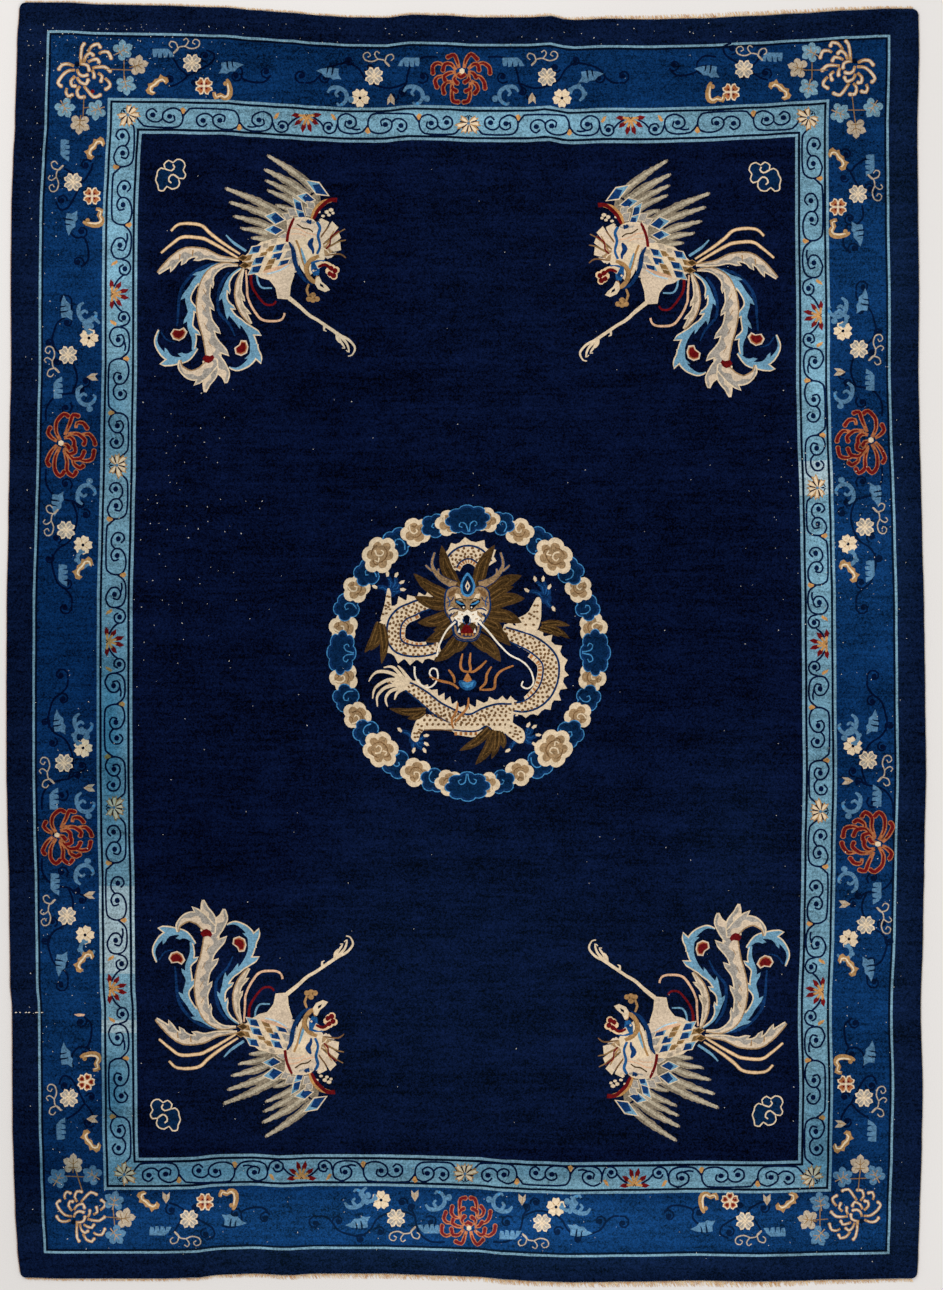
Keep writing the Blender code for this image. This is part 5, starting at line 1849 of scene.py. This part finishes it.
# %% [markdown]
# ## Wear in the pile
#
# Where the wool has worn down to its knots, the undyed cotton foundation shows as
# small pale dots. They are thickest in the upper left corner and along the right
# border.

# %% Worn knots
# Column, row, half width, half height, and how many dots a square metre
WORN = pts("""
    100,32,95,36,2300 30,200,30,200,520 850,520,60,90,950 860,900,60,260,300 467,1230,420,40,260
    60,1000,60,220,360 470,20,430,18,700 165,530,60,120,420 466,640,420,600,24""")

# A sheet on the pile's surface says how dense the dots are, place by place
COLUMNS, ROWS = 44, 60
across, along = np.linspace(-1.33, 1.33, COLUMNS), np.linspace(-1.87, 1.87, ROWS)
inside = np.array([(x, y) for y in along for x in across])
sheet_points = [(x, y, z) for (x, y), z in zip(inside, PILE_TOP + swell(*inside.T))]
corners = [row * COLUMNS + column for row in range(ROWS - 1) for column in range(COLUMNS - 1)]
sheet_faces = [(k, k + 1, k + COLUMNS + 1, k + COLUMNS) for k in corners]
sheet_source = mesh_object("worn_places", sheet_points, sheet_faces)
density = sheet_source.data.attributes.new("worn", "FLOAT", "POINT")
density.data.foreach_set("value", spread(WORN, *on_paper(inside).T))

dots, given = new_tree(
    "worn_knots", ("Radius", "NodeSocketFloat", 0.0017), ("Seed", "NodeSocketInt", 4),
    ("Yarn", "NodeSocketMaterial", None))
amount = add(dots, "GeometryNodeInputNamedAttribute", {"Name": "worn"}, data_type="FLOAT")
spots = add(dots, "GeometryNodeDistributePointsOnFaces", {
    "Mesh": given["Geometry"], "Density": amount.outputs[0], "Seed": given["Seed"]}).outputs[0]
dab = add(dots, "GeometryNodeMeshCone", {
    "Vertices": 6, "Radius Top": 0.55, "Radius Bottom": 1.0, "Depth": 0.35}).outputs[0]
wide = add(dots, "FunctionNodeRandomValue", {
    0: (0.35, 0.35, 0.6), 1: (1.5, 0.8, 1.0), "Seed": given["Seed"]},
    data_type="FLOAT_VECTOR").outputs[0]
sized = add(dots, "ShaderNodeVectorMath", {0: wide, "Scale": given["Radius"]},
            operation="SCALE").outputs[0]
spun = add(dots, "FunctionNodeRandomValue", {
    0: (0.0, 0.0, 0.0), 1: (0.0, 0.0, 6.28), "Seed": given["Seed"]},
    data_type="FLOAT_VECTOR").outputs[0]
strewn = add(dots, "GeometryNodeInstanceOnPoints", {
    "Points": spots, "Instance": dab, "Rotation": spun, "Scale": sized}).outputs[0]
end_tree(dots, strewn, given["Yarn"])
# Cotton foundation between worn knots, grey with dust
foundation = yarn("cotton_foundation_worn", "e4dfd4", "aaa698", 30)
knots_bare = grown(sheet_source, "worn_knots", dots, Yarn=foundation)
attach(knots_bare, "root")
print("worn knots:", len(knots_bare.data.polygons), "faces")

# %% [markdown]
# ## Floor, light and camera
#
# The rug lies on a pale floor and is seen from straight above, with a long lens. Broad
# soft light comes from all sides, a little more from the top.

# %% Floor
half = 9.0
floor = mesh_object("floor", [(-half, -half, 0), (half, -half, 0), (half, half, 0), (-half, half, 0)],
                    [(0, 1, 2, 3)])
plaster, tree, shader = new_material("floor_painted_white", 0.95, 0.05)
paint = add(tree, "ShaderNodeTexNoise", {
    "Vector": add(tree, "ShaderNodeTexCoord").outputs["Object"], "Scale": 1.5, "Detail": 3.0})
tone = add(tree, "ShaderNodeValToRGB", {"Fac": paint.outputs["Fac"]})
for stop, shade in zip(tone.color_ramp.elements, ("dfdbd8", "e5e2e0")):
    stop.color = linear(shade)
tree.links.new(tone.outputs["Color"], shader.inputs["Base Color"])
floor.data.materials.append(plaster)

# %% Light and camera
def area_light(name, place, size, power):
    """A square lamp that is turned to the middle of the rug."""
    lamp = bpy.data.lights.new(name, "AREA")
    lamp.shape, lamp.size, lamp.size_y, lamp.energy = "RECTANGLE", size, size, power
    made = new_object(name, lamp)
    made.location = place
    made.rotation_euler = (-Vector(place)).to_track_quat("-Z", "Y").to_euler()


area_light("window_light", (-2.5, 5.0, 6.0), 5.0, 260)
area_light("fill_light", (3.5, -3.5, 6.5), 5.0, 170)
world = bpy.data.worlds.new("soft_room")
world.use_nodes = True
sky = world.node_tree.nodes["Background"]
sky.inputs["Color"].default_value = (1.0, 0.995, 0.985, 1.0)
sky.inputs["Strength"].default_value = 0.62
bpy.context.scene.world = world
bpy.context.scene.view_settings.view_transform = "Standard"

# The photograph is as high as 1290 squares of the paper
camera = bpy.data.cameras.new("overhead")
camera.lens, camera.sensor_width = 100.0, 36.0
camera.clip_end = 100.0
viewer = new_object("overhead", camera)
view_height = 1290 * SQUARE
viewer.location = (0.0157, -0.0039, view_height * camera.lens / camera.sensor_width + PILE_TOP)
bpy.context.scene.camera = viewer
print("camera", round(viewer.location.z, 2), "m above the floor")
